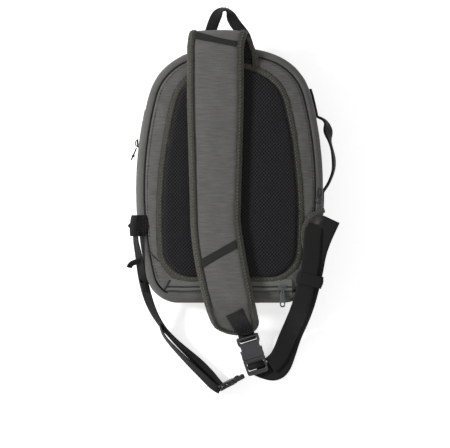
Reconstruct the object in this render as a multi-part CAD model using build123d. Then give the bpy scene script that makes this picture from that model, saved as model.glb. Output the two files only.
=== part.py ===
"""Sling bag lying on its front: padded back panel as a lid, one wide shoulder strap, buckles and webbing.

Millimetres. X runs across the bag, Y from its bottom edge to its top, Z out of the back panel.
The origin is the centre of the flat front panel, which rests on z = 0.
"""

import math
import os

from build123d import *

# Bag outline: crown, shoulder, side and corner arcs, tangent to each other, over a flat bottom edge.
BAG_HALF_WIDTH = 132.0
BAG_TOP_Y = 182.0
BAG_BOTTOM_Y = -180.0
WIDEST_Y = -20.0
SIDE_RADIUS = 539.0
SHOULDER_RADIUS = 85.0
CROWN_RADIUS = 1.4924 * BAG_HALF_WIDTH
CORNER_RADIUS = 45.0

# Depth.
RIM_Z = 66.0
FRONT_SEAM_Z = 22.0
FRONT_ROUNDING = 20.0
RIM_ROUNDING = 9.0
FABRIC_WALL = 3.0
LINING_WALL = 1.0
PIPING_WIDTH = 1.2
PIPING_HEIGHT = 2.4

# Main opening.
LIP_INSET = 10.5
ZIP_GAP = 2.0
TOOTH_WIDTH = 0.9
ZIP_TAPE_WIDTH = 8.0
ZIP_TAPE_THICKNESS = 1.0
ZIP_END_Y = -150.0
MAIN_OPENING_DEG = 70.0
STRAP_FOLLOW = 0.4

# Back panel pad.
MESH_SIDE_MARGIN = 37.0
MESH_TOP_MARGIN = 30.0
MESH_BOTTOM_MARGIN = 37.0
MESH_SIDE_RADIUS = 680.0
MESH_SHOULDER_RADIUS = 62.0
MESH_CROWN_RADIUS = 0.7197 * BAG_HALF_WIDTH
MESH_CORNER_RADIUS = 40.0
MESH_WIDEST_Y = -60.0
BINDING_WIDTH = 9.0
BINDING_HEIGHT = 6.5
FOAM_THICKNESS = 8.0
MESH_THICKNESS = 3.0
STIFFENER_THICKNESS = 1.2

# Pocket under the mesh.
POCKET_HALF_WIDTH = 88.0
FLAP_HEIGHT = 5.0
FLAP_THICKNESS = 2.0
POCKET_SLIDER_X = 74.0
PULL_LENGTH = 24.0
PULL_WIDTH = 7.0

# Shoulder strap.
STRAP_CENTRE_X = -20.5
STRAP_WIDTH = 80.0
STRAP_END_WIDTH = 66.0
STRAP_BACKING = 1.2
STRAP_FOAM = 7.0
STRAP_FACE = 1.3
STRAP_BINDING = 10.0
STRAP_FOLD_Y = 192.0
YOKE_THICKNESS = 5.5
FOLD_GAP_DEG = 40.0
TAPE_WIDTH = 11.0
TAPE_THICKNESS = 1.0

# Webbing and fittings.
WIDE_WEBBING = 25.0
NARROW_WEBBING = 15.0
WEBBING_THICKNESS = 2.0
SLIDER_LENGTH = 12.0
SLIDER_WIDTH = 8.0
SLIDER_HEIGHT = 4.5
RING_RADIUS = 4.5
RING_WIRE = 0.8
HANDLE_WIDTH = 20.0
HANDLE_THICKNESS = 3.0
HAUL_WIDTH = 13.0
TONGUE_HALF = 0.8
FRONT_PULL_THICKNESS = 2.2
PULL_THICKNESS = 2.4

# Clearances.
CLEAR = 0.3
SLIP = 0.6

PAD_TOP_Z = RIM_Z + CLEAR + FOAM_THICKNESS + MESH_THICKNESS
STRAP_UNDER_Z = PAD_TOP_Z + SLIP
STRAP_THICKNESS = STRAP_BACKING + STRAP_FOAM + STRAP_FACE
HINGE_Y = BAG_BOTTOM_Y + LIP_INSET + ZIP_GAP
LID_INSET = LIP_INSET + ZIP_GAP
SIDE_CENTRE_X = BAG_HALF_WIDTH - SIDE_RADIUS


def arc_joint(centre_a, radius_a, centre_b, radius_b):
    """Point where two internally tangent circles touch, on the line through both centres."""
    dx = centre_b[0] - centre_a[0]
    dy = centre_b[1] - centre_a[1]
    length = math.hypot(dx, dy)
    return centre_a[0] + dx / length * radius_a, centre_a[1] + dy / length * radius_a


def blend_centre(centre_a, radius_a, centre_b, radius_b, radius):
    """Centre, in the +X +Y side, of a circle tangent inside two others."""
    reach_a = radius_a - radius
    reach_b = radius_b - radius
    dx = centre_b[0] - centre_a[0]
    dy = centre_b[1] - centre_a[1]
    gap = math.hypot(dx, dy)
    along = (reach_a**2 - reach_b**2 + gap**2) / (2 * gap)
    across = math.sqrt(reach_a**2 - along**2)
    foot_x = centre_a[0] + dx / gap * along
    foot_y = centre_a[1] + dy / gap * along
    options = [
        (foot_x - dy / gap * across, foot_y + dx / gap * across),
        (foot_x + dy / gap * across, foot_y - dx / gap * across),
    ]
    return max(options, key=lambda point: point[0] + point[1])


def egg(shape, inset):
    """Face bounded by tangent arcs, drawn inwards by inset from the given shape."""
    half_width, widest_y, top_y, bottom_y, side_r, shoulder_r, crown_r, corner_r = shape
    side = (half_width - side_r, widest_y)
    crown = (0.0, top_y - crown_r)
    shoulder = blend_centre(side, side_r, crown, crown_r, shoulder_r)
    corner_y = bottom_y + corner_r
    corner = (side[0] + math.sqrt((side_r - corner_r) ** 2 - (corner_y - widest_y) ** 2), corner_y)
    crown_end = arc_joint(crown, crown_r - inset, shoulder, shoulder_r - inset)
    shoulder_end = arc_joint(side, side_r - inset, shoulder, shoulder_r - inset)
    corner_start = arc_joint(side, side_r - inset, corner, corner_r - inset)

    def mid(centre, radius, start, end):
        angle = (math.atan2(start[1] - centre[1], start[0] - centre[0])
                 + math.atan2(end[1] - centre[1], end[0] - centre[0])) / 2
        return centre[0] + radius * math.cos(angle), centre[1] + radius * math.sin(angle)

    bottom = (corner[0], bottom_y + inset)
    shoulder_mid = mid(shoulder, shoulder_r - inset, crown_end, shoulder_end)
    side_mid = mid(side, side_r - inset, shoulder_end, corner_start)
    corner_mid = mid(corner, corner_r - inset, corner_start, bottom)

    def flip(point):
        return -point[0], point[1]

    edges = [
        ThreePointArc(flip(crown_end), (0.0, top_y - inset), crown_end),
        ThreePointArc(crown_end, shoulder_mid, shoulder_end),
        ThreePointArc(shoulder_end, side_mid, corner_start),
        ThreePointArc(corner_start, corner_mid, bottom),
        Line(bottom, flip(bottom)),
        ThreePointArc(flip(bottom), flip(corner_mid), flip(corner_start)),
        ThreePointArc(flip(corner_start), flip(side_mid), flip(shoulder_end)),
        ThreePointArc(flip(shoulder_end), flip(shoulder_mid), flip(crown_end)),
    ]
    return Face(Wire([edge.edge() for edge in edges]))


BAG = (BAG_HALF_WIDTH, WIDEST_Y, BAG_TOP_Y, BAG_BOTTOM_Y, SIDE_RADIUS, SHOULDER_RADIUS, CROWN_RADIUS,
       CORNER_RADIUS)
MESH_TOP_Y = BAG_TOP_Y - MESH_TOP_MARGIN
MESH_BOTTOM_Y = BAG_BOTTOM_Y + MESH_BOTTOM_MARGIN
MESH = (BAG_HALF_WIDTH - MESH_SIDE_MARGIN, MESH_WIDEST_Y, MESH_TOP_Y, MESH_BOTTOM_Y, MESH_SIDE_RADIUS,
        MESH_SHOULDER_RADIUS, MESH_CROWN_RADIUS, MESH_CORNER_RADIUS)


def raised(face, low, high):
    """Block over a flat face, between two heights."""
    return extrude(Pos(0, 0, low) * face, high - low, dir=(0, 0, 1))


def prism(shape, inset, low, high):
    """Egg-shaped block between two heights."""
    return raised(egg(shape, inset), low, high)


def ring(shape, outer, inner, low, high):
    """Egg-shaped band between two insets and two heights."""
    return prism(shape, outer, low, high) - prism(shape, inner, low, high)


def block(x_range, y_range, z_range):
    """Box given by its limits."""
    size = [high - low for low, high in (x_range, y_range, z_range)]
    centre = [(high + low) / 2 for low, high in (x_range, y_range, z_range)]
    return Pos(*centre) * Box(*size)


def edges_at(solid, height):
    """Horizontal edges at one height."""
    return [edge for edge in solid.edges()
            if abs(edge.bounding_box().min.Z - height) < 1e-3
            and abs(edge.bounding_box().max.Z - height) < 1e-3]


def side_x(y, inset=0.0):
    """Outline's half width on its side arc."""
    return SIDE_CENTRE_X + math.sqrt((SIDE_RADIUS - inset) ** 2 - (y - WIDEST_Y) ** 2)


# --- bag body ----------------------------------------------------------------------------------

def front_panel():
    outer = prism(BAG, 0, 0, FRONT_SEAM_Z)
    outer = fillet(edges_at(outer, 0), FRONT_ROUNDING)
    inner = prism(BAG, FABRIC_WALL, FABRIC_WALL, FRONT_SEAM_Z)
    inner = fillet(edges_at(inner, FABRIC_WALL), FRONT_ROUNDING - FABRIC_WALL)
    return outer - inner


def gusset_band():
    outer = prism(BAG, 0, FRONT_SEAM_Z, RIM_Z)
    outer = fillet(edges_at(outer, RIM_Z), RIM_ROUNDING)
    inner = prism(BAG, FABRIC_WALL, FRONT_SEAM_Z, RIM_Z - FABRIC_WALL)
    inner = fillet(edges_at(inner, RIM_Z - FABRIC_WALL), RIM_ROUNDING - FABRIC_WALL)
    return outer - inner - prism(BAG, LIP_INSET, FRONT_SEAM_Z, RIM_Z)


def front_piping():
    return ring(BAG, -PIPING_WIDTH, 0, FRONT_SEAM_Z - PIPING_HEIGHT / 2, FRONT_SEAM_Z + PIPING_HEIGHT / 2)


LINING_INSET = FABRIC_WALL + CLEAR
LINING_TOP_Z = RIM_Z - FABRIC_WALL - ZIP_TAPE_THICKNESS - RIM_ROUNDING
POCKET_WALL_Z = 15.0


def lining_wall():
    return ring(BAG, LINING_INSET, LINING_INSET + LINING_WALL, FRONT_SEAM_Z, LINING_TOP_Z)


def front_pocket_wall():
    edge = LINING_INSET + LINING_WALL + 3
    return prism(BAG, edge, POCKET_WALL_Z, POCKET_WALL_Z + LINING_WALL)


def inner_sleeve():
    width = BAG_HALF_WIDTH - 45
    low = POCKET_WALL_Z + LINING_WALL + CLEAR
    return block((-width, width), (BAG_BOTTOM_Y + 40, 40), (low, low + 3))


def zip_half(edge_inset, tape_from, tape_to):
    """Zip tape under the rim with its row of teeth, open along the bottom hinge."""
    tape_top = RIM_Z - FABRIC_WALL - CLEAR
    tape = ring(BAG, tape_from, tape_to, tape_top - ZIP_TAPE_THICKNESS, tape_top)
    teeth = ring(BAG, edge_inset, edge_inset + TOOTH_WIDTH, tape_top - ZIP_TAPE_THICKNESS, RIM_Z - CLEAR)
    keep = block((-400, 400), (ZIP_END_Y, 400), (0, 100))
    return (tape + teeth) & keep


def body_zip():
    return zip_half(LIP_INSET + CLEAR / 3, LIP_INSET - 2.2, LIP_INSET + CLEAR / 3 + TOOTH_WIDTH)


def lid_zip():
    start = LID_INSET - CLEAR / 3 - TOOTH_WIDTH
    return zip_half(start, start, start + ZIP_TAPE_WIDTH)


def side_patch(y_range, z_range, side=1):
    """Thin strip sewn on the bag's side, following its arc."""
    band = ring(BAG, -WEBBING_THICKNESS, -CLEAR / 2, *z_range)
    x_range = (60, 400) if side > 0 else (-400, -60)
    return band & block(x_range, y_range, (0, 100))


HANDLE_Z = 44.0
HANDLE_TOP_Y = 83.0
HANDLE_END_Y = -21.0
HANDLE_Z_RANGE = (HANDLE_Z - HANDLE_WIDTH / 2, HANDLE_Z + HANDLE_WIDTH / 2)
FRONT_ZIP_Y = (-75.0, 95.0)
FRONT_ZIP_Z = (FRONT_SEAM_Z + 3.0, FRONT_SEAM_Z + 9.0)
FRONT_SLIDER_Y = 47.0


def handle_patch_upper():
    return side_patch((HANDLE_TOP_Y + CLEAR, HANDLE_TOP_Y + 40), HANDLE_Z_RANGE)


def handle_patch_lower():
    return side_patch((HANDLE_END_Y - 34, HANDLE_END_Y - CLEAR), HANDLE_Z_RANGE)


def front_zip():
    return side_patch(FRONT_ZIP_Y, FRONT_ZIP_Z, side=-1)


HAUL_LEFT_X = -34.0
HAUL_RIGHT_X = 28.0
HAUL_REACH = 56.0
HAUL_Z = 56.0
HAUL_LEAN = 3.0
HAUL_TIP_HALF = 5.5
HAUL_ROOT_Y = BAG_TOP_Y + 4.0


def haul_loop_patch():
    reach = block((HAUL_LEFT_X, HAUL_RIGHT_X), (100, 400), (HAUL_Z - 12, HAUL_Z - 3))
    return ring(BAG, -WEBBING_THICKNESS, -CLEAR / 2, HAUL_Z - 12, HAUL_Z - 3) & reach


# --- back panel --------------------------------------------------------------------------------

def back_fabric():
    return prism(BAG, LID_INSET, RIM_Z - FABRIC_WALL, RIM_Z)


def back_stiffener():
    top = RIM_Z - FABRIC_WALL - CLEAR
    return prism(BAG, LID_INSET + ZIP_TAPE_WIDTH + 4, top - STIFFENER_THICKNESS, top)


def back_lining():
    top = RIM_Z - FABRIC_WALL - 2 * CLEAR - STIFFENER_THICKNESS
    return prism(BAG, LID_INSET + ZIP_TAPE_WIDTH + 2, top - LINING_WALL, top)


def back_foam():
    return prism(MESH, CLEAR, RIM_Z + CLEAR / 2, RIM_Z + CLEAR / 2 + FOAM_THICKNESS)


def back_mesh():
    low = RIM_Z + CLEAR + FOAM_THICKNESS
    pad = prism(MESH, CLEAR, low, PAD_TOP_Z)
    return fillet(edges_at(pad, PAD_TOP_Z), MESH_THICKNESS * 0.8)


def back_binding():
    low = RIM_Z + CLEAR / 2
    return ring(MESH, -BINDING_WIDTH, 0, low, low + BINDING_HEIGHT)


FLAP_TOP_Y = MESH_BOTTOM_Y - BINDING_WIDTH - CLEAR
POCKET_ZIP_Y = FLAP_TOP_Y - FLAP_HEIGHT
FLAP_LOW_Z = RIM_Z + CLEAR / 2
FLAP_HIGH_Z = FLAP_LOW_Z + FLAP_THICKNESS


def pocket_flap(y_range):
    return block((-POCKET_HALF_WIDTH, POCKET_HALF_WIDTH), y_range, (FLAP_LOW_Z, FLAP_HIGH_Z))


def pocket_flap_upper():
    return pocket_flap((POCKET_ZIP_Y + 0.6, FLAP_TOP_Y))


def pocket_flap_lower():
    return pocket_flap((POCKET_ZIP_Y - FLAP_HEIGHT, POCKET_ZIP_Y - 0.6))


def pocket_zip():
    return block((-POCKET_HALF_WIDTH, POCKET_HALF_WIDTH), (POCKET_ZIP_Y - 0.5, POCKET_ZIP_Y + 0.5),
                 (FLAP_LOW_Z, FLAP_HIGH_Z - CLEAR))


WING_LOW_Z = RIM_Z + CLEAR + 0.2
WING_THICKNESS = 1.8
WING_TOP_Z = WING_LOW_Z + WING_THICKNESS
WING_SEAM_X = BAG_HALF_WIDTH - MESH_SIDE_MARGIN + BINDING_WIDTH + 2.0


def wing_outline():
    seam_x = WING_SEAM_X
    tip_x = BAG_HALF_WIDTH
    edges = [
        ThreePointArc((seam_x, -66), (seam_x + 14, -54), (tip_x, -49)),
        Line((tip_x, -49), (tip_x - 2, -84)),
        Line((tip_x - 2, -84), (tip_x - 12, -126)),
        Line((tip_x - 12, -126), (seam_x, -104)),
        Line((seam_x, -104), (seam_x, -66)),
    ]
    return Face(Wire([edge.edge() for edge in edges]))


def right_wing():
    return raised(wing_outline(), WING_LOW_Z, WING_TOP_Z)


def right_wing_binding():
    edges = [
        ThreePointArc((WING_SEAM_X, -65.6), (WING_SEAM_X + 13.7, -53.6), (BAG_HALF_WIDTH, -48.6)),
        Line((BAG_HALF_WIDTH, -48.6), (BAG_HALF_WIDTH, -43.6)),
        ThreePointArc((BAG_HALF_WIDTH, -43.6), (WING_SEAM_X + 11.5, -49.6), (WING_SEAM_X - 1, -61.6)),
        Line((WING_SEAM_X - 1, -61.6), (WING_SEAM_X, -65.6)),
    ]
    return raised(Face(Wire([edge.edge() for edge in edges])), WING_LOW_Z, WING_TOP_Z)


ANCHOR_Y = (-86.0, -56.0)


def left_anchor():
    outer_x = -side_x(-71) - 9
    return block((outer_x, outer_x + 24), ANCHOR_Y, (WING_LOW_Z, WING_LOW_Z + 4.5))


YOKE_LOW_Z = WING_LOW_Z
YOKE_START_Y = MESH_TOP_Y + BINDING_WIDTH + 3


def strap_yoke():
    half = STRAP_WIDTH / 2 + 2
    return block((STRAP_CENTRE_X - half, STRAP_CENTRE_X + half), (YOKE_START_Y, STRAP_FOLD_Y),
                 (YOKE_LOW_Z, YOKE_LOW_Z + YOKE_THICKNESS))


# --- shoulder strap ----------------------------------------------------------------------------

FOLD_Z = (YOKE_LOW_Z + YOKE_THICKNESS / 2 + STRAP_UNDER_Z + STRAP_THICKNESS / 2) / 2
FOLD_RADIUS = STRAP_UNDER_Z + STRAP_THICKNESS / 2 - FOLD_Z
STRAP_MID_Z = STRAP_UNDER_Z + STRAP_THICKNESS / 2
EDGE_DROP_Y = BAG_BOTTOM_Y - 4.0
STRAP_SIDE_POINTS = [(STRAP_FOLD_Y, STRAP_MID_Z), (EDGE_DROP_Y, STRAP_MID_Z), (EDGE_DROP_Y - 33, 17.0),
                     (EDGE_DROP_Y - 64, 6.5)]
STRAP_SIDE_RADII = [24.0, 30.0]


def strap_sheet(low, high):
    """One strap layer as a bent plate: folded at the crest, flat on the pad, dropping past the bottom."""
    thickness = high - low
    middle = (low + high) / 2 - STRAP_THICKNESS / 2
    points = [(0, y, z) for y, z in STRAP_SIDE_POINTS]
    path = FilletPolyline(*points, radius=STRAP_SIDE_RADII)
    start = Plane(origin=(STRAP_CENTRE_X, STRAP_FOLD_Y, STRAP_MID_Z + middle),
                  x_dir=(1, 0, 0), z_dir=(0, -1, 0))
    plate = sweep(start * Rectangle(260, thickness), path=Pos(STRAP_CENTRE_X, 0, 0) * path)
    axis = Axis((STRAP_CENTRE_X, STRAP_FOLD_Y, FOLD_Z), (-1, 0, 0))
    fold = revolve(start * Rectangle(260, thickness), axis=axis, revolution_arc=180 - FOLD_GAP_DEG)
    return plate + fold


def strap_plan(inset):
    """Plan outline of the strap, drawn inwards from both edges."""
    half = STRAP_WIDTH / 2 - inset
    end_half = STRAP_END_WIDTH / 2 - inset
    x = STRAP_CENTRE_X
    top_y = STRAP_FOLD_Y + 30
    edges = [
        Line((x - half, top_y), (x - half, 100)),
        ThreePointArc((x - half, 100), (x - half + 1.2, 10), (x - half + 4.5, -60)),
        ThreePointArc((x - half + 4.5, -60), (x - half + 15, -135), (x + 4 - end_half + 7, -200)),
        ThreePointArc((x + 11 - end_half, -200), (x + 26 - end_half * 0.62, -222 + inset * 0.8),
                      (x + 31, -229 + inset)),
        ThreePointArc((x + 31, -229 + inset), (x + 52, -221 + inset),
                      (x + 30 + end_half, -207)),
        ThreePointArc((x + 30 + end_half, -207), (x + 12 + end_half, -140), (x + half - 4.5, -60)),
        ThreePointArc((x + half - 4.5, -60), (x + half - 3, 10), (x + half, 100)),
        Line((x + half, 100), (x + half, top_y)),
        Line((x + half, top_y), (x - half, top_y)),
    ]
    return Face(Wire([edge.edge() for edge in edges]))


def cut_to(sheet, face):
    """Part of a bent sheet over a plan outline."""
    return sheet & raised(face, -20, 140)


def strap_face():
    low = STRAP_BACKING + STRAP_FOAM
    return cut_to(strap_sheet(low, STRAP_THICKNESS), strap_plan(STRAP_BINDING))


def strap_foam():
    return cut_to(strap_sheet(STRAP_BACKING, STRAP_BACKING + STRAP_FOAM), strap_plan(STRAP_BINDING))


def strap_backing():
    return cut_to(strap_sheet(0, STRAP_BACKING), strap_plan(STRAP_BINDING))


def strap_binding():
    outline = strap_plan(0) - strap_plan(STRAP_BINDING - CLEAR)
    return cut_to(strap_sheet(0, STRAP_THICKNESS), outline)


def quad(points):
    """Plan outline with straight sides."""
    return Face(Wire([Line(points[i], points[(i + 1) % len(points)]).edge() for i in range(len(points))]))


def slanted_tape(start, end):
    """Flat tape over the strap's face, across it at a slant."""
    dx = end[0] - start[0]
    dy = end[1] - start[1]
    length = math.hypot(dx, dy)
    side = (-dy / length * TAPE_WIDTH / 2, dx / length * TAPE_WIDTH / 2)
    corners = [
        (start[0] - side[0], start[1] - side[1]),
        (end[0] - side[0], end[1] - side[1]),
        (end[0] + side[0], end[1] + side[1]),
        (start[0] + side[0], start[1] + side[1]),
    ]
    low = STRAP_THICKNESS + CLEAR / 2
    return cut_to(strap_sheet(low, low + TAPE_THICKNESS), quad(corners))


def strap_tape_upper():
    return slanted_tape((STRAP_CENTRE_X - STRAP_WIDTH / 2 + 11, 189), (STRAP_CENTRE_X + STRAP_WIDTH / 2 - 12, 178))


def strap_tape_lower():
    return slanted_tape((STRAP_CENTRE_X - STRAP_WIDTH / 2 + 20, -121), (STRAP_CENTRE_X + STRAP_WIDTH / 2 - 13, -95))


BUCKLE_TILT = 5.0
BUCKLE_HEADING = -72.7
BUCKLE_START = (24.5, -230.0, 12.0)
SMALL_BUCKLE_START = (-15.0, -305.0, 13.0)
SMALL_BUCKLE_HEADING = 27.0


def strap_end_webbing():
    low = STRAP_THICKNESS + CLEAR / 2
    face = quad([(-5, -193), (18, -183), (33, -217), (10.5, -227)])
    return cut_to(strap_sheet(low, low + WEBBING_THICKNESS), face)


# --- side-release buckles ----------------------------------------------------------------------

BUCKLE_RAIL = 4.0
BUCKLE_WALL = 2.0
CORNER_ROUNDING = 3.0
PRONG_WIDTH = 4.0
PRONG_ROOM = 0.6
SOCKET_SHARE = 0.58
SLOT_SHARE = 0.07
BAR_SHARE = 0.09


def buckle(webbing, length, thickness):
    """Socket, plug and two sprung prongs along +X, with their hinge point."""
    half = webbing / 2 + BUCKLE_RAIL
    socket_end = length * SOCKET_SHARE
    bar = length * BAR_SHARE
    slot = length * SLOT_SHARE
    cavity = half - 3.5
    prong_root = socket_end + PRONG_WIDTH
    socket = block((0, socket_end), (-half, half), (-thickness / 2, thickness / 2))
    socket = fillet(socket.edges().filter_by(Axis.Z), CORNER_ROUNDING)
    socket -= block((bar, bar + slot), (-webbing / 2, webbing / 2), (-thickness, thickness))
    socket -= block((bar + slot + BUCKLE_WALL, socket_end), (-cavity, cavity),
                    (-thickness / 2 + BUCKLE_WALL, thickness / 2 - BUCKLE_WALL))
    tooth_start = socket_end - length * 0.27
    tooth_end = socket_end - length * 0.13
    window = (tooth_start - 1, tooth_end + 1)
    socket -= block(window, (cavity - 1, half), (-thickness / 2 + BUCKLE_WALL, thickness / 2 - BUCKLE_WALL))
    socket -= block(window, (-half, 1 - cavity), (-thickness / 2 + BUCKLE_WALL, thickness / 2 - BUCKLE_WALL))
    base_start = socket_end + CLEAR
    plug = block((base_start, length), (-half, half), (-thickness / 2, thickness / 2))
    plug = fillet(plug.edges().filter_by(Axis.Z), CORNER_ROUNDING)
    for start in (length - 6 - slot, length - 10 - 2 * slot):
        plug -= block((start, start + slot), (-webbing / 2, webbing / 2), (-thickness, thickness))
    for side in (-1, 1):
        limits = sorted((side * (cavity - 6.2), side * (cavity + 0.6)))
        plug -= block((base_start, prong_root + 2.4), limits, (-thickness / 2 + 1.6, thickness / 2 - 1.6))
    tongue = block((socket_end - length * 0.25, base_start + 1), (-TONGUE_HALF, TONGUE_HALF),
                   (-thickness / 2 + BUCKLE_WALL + PRONG_ROOM, thickness / 2 - BUCKLE_WALL - PRONG_ROOM))
    plug += tongue
    prongs = []
    for side in (-1, 1):
        stem = sorted((side * (cavity - 5.2), side * (cavity - 1.2)))
        tooth = sorted((side * (cavity - 5.2), side * (half - 1.2)))
        height = (-thickness / 2 + BUCKLE_WALL + PRONG_ROOM, thickness / 2 - BUCKLE_WALL - PRONG_ROOM)
        prong = block((tooth_start, prong_root + 1.4), stem, height)
        prong += block((tooth_start, tooth_end), tooth, height)
        prongs.append(prong)
    return socket, plug, prongs, (prong_root, cavity - 3.2)


def buckle_place(start, heading, tilt, on_edge):
    """Location that lays a buckle along a heading, flat or on its edge."""
    angle = math.radians(heading)
    drop = math.radians(tilt)
    along = Vector(math.cos(angle) * math.cos(drop), math.sin(angle) * math.cos(drop), -math.sin(drop))
    across = Vector(-math.sin(angle), math.cos(angle), 0)
    up = along.cross(across)
    return Plane(origin=start, x_dir=along, z_dir=across if on_edge else up).location


MAIN_BUCKLE = buckle(WIDE_WEBBING, 57.0, 11.0)
SMALL_BUCKLE = buckle(NARROW_WEBBING, 40.0, 8.5)
MAIN_PLACE = buckle_place(BUCKLE_START, BUCKLE_HEADING, BUCKLE_TILT, False)
SMALL_PLACE = buckle_place(SMALL_BUCKLE_START, SMALL_BUCKLE_HEADING, 0.0, True)


# --- free webbing ------------------------------------------------------------------------------

WIDE_ROUTE = [
    (BAG_HALF_WIDTH - 16, -84, RIM_Z + 8),
    (BAG_HALF_WIDTH - 17, -108, RIM_Z + 8),
    (BAG_HALF_WIDTH - 20, -134, RIM_Z + 8),
    (BAG_HALF_WIDTH - 26, -160, RIM_Z + 8),
    (BAG_HALF_WIDTH - 33, -186, RIM_Z + 3),
    (BAG_HALF_WIDTH - 41, -209, 0.682 * RIM_Z),
    (0.621 * BAG_HALF_WIDTH, -232, 0.303 * RIM_Z),
    (0.568 * BAG_HALF_WIDTH, -252, 11),
    (67, -266, 9),
    (58, -272.5, 8.5),
]
WIDE_TAIL_ROUTE = [
    (67, -283, 4.3),
    (76, -275, 4.5),
    (0.629 * BAG_HALF_WIDTH, -255, 6.6),
    (0.683 * BAG_HALF_WIDTH, -230.3, 0.236 * RIM_Z),
    (BAG_HALF_WIDTH - 32.8, -207.6, 0.615 * RIM_Z),
    (BAG_HALF_WIDTH - 25.6, -186, RIM_Z - 2),
    (BAG_HALF_WIDTH - 19.2, -162, RIM_Z + 4.5),
    (BAG_HALF_WIDTH - 13, -135, RIM_Z + 4.8),
    (BAG_HALF_WIDTH - 9, -111, RIM_Z + 4.9),
    (BAG_HALF_WIDTH - 3, -93, RIM_Z + 5.1),
    (BAG_HALF_WIDTH + 4, -77, RIM_Z + 5.6),
    (BAG_HALF_WIDTH + 11, -62, RIM_Z + 6.8),
]
NARROW_ROUTE = [
    (-BAG_HALF_WIDTH - 2, -88, RIM_Z + 1),
    (-BAG_HALF_WIDTH + 3, -112, RIM_Z - 4),
    (-BAG_HALF_WIDTH + 7, -138, RIM_Z - 12),
    (-BAG_HALF_WIDTH + 12, -164, 0.636 * RIM_Z),
    (-BAG_HALF_WIDTH + 20, -190, 0.455 * RIM_Z),
    (-0.750 * BAG_HALF_WIDTH, -214, 0.288 * RIM_Z),
    (-0.621 * BAG_HALF_WIDTH, -234, 12),
    (-62, -253, 10),
    (-43, -270, 10),
    (-27, -287, 11),
    (-19, -297, 12),
]
NARROW_TAIL_ROUTE = [
    (-0.742 * BAG_HALF_WIDTH, -225, 0.242 * RIM_Z),
    (-0.652 * BAG_HALF_WIDTH, -241, 12),
    (-70, -258, 10),
    (-53, -275, 10),
    (-37, -290, 11),
    (-23, -304, 12),
]


def route_radii(route):
    """Largest arc at each corner: 0.45 of the shorter run over the tangent of half the turn."""
    radii = []
    for before, here, after in zip(route, route[1:], route[2:]):
        first = Vector(*here) - Vector(*before)
        second = Vector(*after) - Vector(*here)
        turn = math.radians(first.get_angle(second))
        radii.append(0.45 * min(first.length, second.length) / math.tan(turn / 2))
    return radii


def free_webbing(name, route, width, flat):
    """Webbing along a route of straight runs joined by tangent arcs, lying flat or standing on its edge."""
    radii = route_radii(route)
    path = FilletPolyline(*route, radius=radii)
    heading = Vector(*route[1]) - Vector(*route[0])
    plane = Plane(origin=route[0], x_dir=Vector(0, 0, 1).cross(heading).normalized(), z_dir=heading)
    across = (width, WEBBING_THICKNESS) if flat else (WEBBING_THICKNESS, width)
    solid = sweep(plane * Rectangle(*across), path=path)
    print(name, "radii", [round(radius) for radius in radii], "length", round(path.length, 1),
          "volume", round(solid.volume), "section x length", round(path.length * width * WEBBING_THICKNESS))
    return solid


def webbing_keeper(centre, length, hole, heading, slope):
    """Sewn sleeve that holds two layers of webbing."""
    sleeve = Box(length, hole[0] + 3, hole[1] + 3) - Box(length + 2, *hole)
    return Pos(*centre) * Rot(0, 0, heading) * Rot(0, slope, 0) * sleeve


def wide_keeper():
    hole = (WIDE_WEBBING + 11, 2 * WEBBING_THICKNESS + 4)
    return webbing_keeper((BAG_HALF_WIDTH - 19.7, -147.6, RIM_Z + 6.4), 22, hole, -103, 0)


def narrow_keeper():
    hole = (WEBBING_THICKNESS + 4, NARROW_WEBBING + 3)
    return webbing_keeper((-BAG_HALF_WIDTH + 10, -154, 0.7045 * RIM_Z), 14, hole, -79, 25)


# --- loops, sliders and pulls ------------------------------------------------------------------

def band_along(points, radius, width, thickness):
    """Webbing along a flat route at one height: width is upright, thickness across the route."""
    path = FilletPolyline(*points, radius=radius)
    heading = Vector(*points[1]) - Vector(*points[0])
    plane = Plane(origin=points[0], x_dir=Vector(0, 0, 1).cross(heading).normalized(), z_dir=heading)
    return sweep(plane * Rectangle(thickness, width), path=path)


def haul_loop():
    mid_x = (HAUL_LEFT_X + HAUL_RIGHT_X) / 2 - HAUL_LEAN
    tip_y = BAG_TOP_Y + HAUL_REACH - HAUL_WIDTH / 2
    points = [(HAUL_LEFT_X, HAUL_ROOT_Y, HAUL_Z), (HAUL_LEFT_X + 5, HAUL_ROOT_Y + 16, HAUL_Z),
              (mid_x - HAUL_TIP_HALF, tip_y, HAUL_Z), (mid_x + HAUL_TIP_HALF, tip_y, HAUL_Z),
              (HAUL_RIGHT_X - 5.5, HAUL_ROOT_Y + 16, HAUL_Z), (HAUL_RIGHT_X, HAUL_ROOT_Y, HAUL_Z)]
    return band_along(points, HAUL_WIDTH / 2 + 1.5, HANDLE_THICKNESS, HAUL_WIDTH)


HANDLE_BULGE = 13.0


def side_handle():
    gap = 6.5
    top = (side_x(HANDLE_TOP_Y) + gap, HANDLE_TOP_Y, HANDLE_Z)
    end = (side_x(HANDLE_END_Y) + gap, HANDLE_END_Y, HANDLE_Z)
    points = [top, (top[0] + HANDLE_BULGE, top[1] - 18, HANDLE_Z),
              (side_x(30) + gap + HANDLE_BULGE, 30, HANDLE_Z),
              (end[0] + HANDLE_BULGE, end[1] + 18, HANDLE_Z), end]
    return band_along(points, 12.0, HANDLE_WIDTH, HANDLE_THICKNESS)


MAIN_SLIDER_Y = -24.0
MAIN_SLIDER_LOW = RIM_Z + SLIP
FRONT_SLIDER_Z = (FRONT_ZIP_Z[0] + FRONT_ZIP_Z[1]) / 2


def main_slider():
    band = ring(BAG, 1.5, LIP_INSET - 0.5, MAIN_SLIDER_LOW, MAIN_SLIDER_LOW + SLIDER_HEIGHT)
    half = SLIDER_LENGTH / 2
    return band & block((60, 400), (MAIN_SLIDER_Y - half, MAIN_SLIDER_Y + half), (0, 100))


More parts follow.
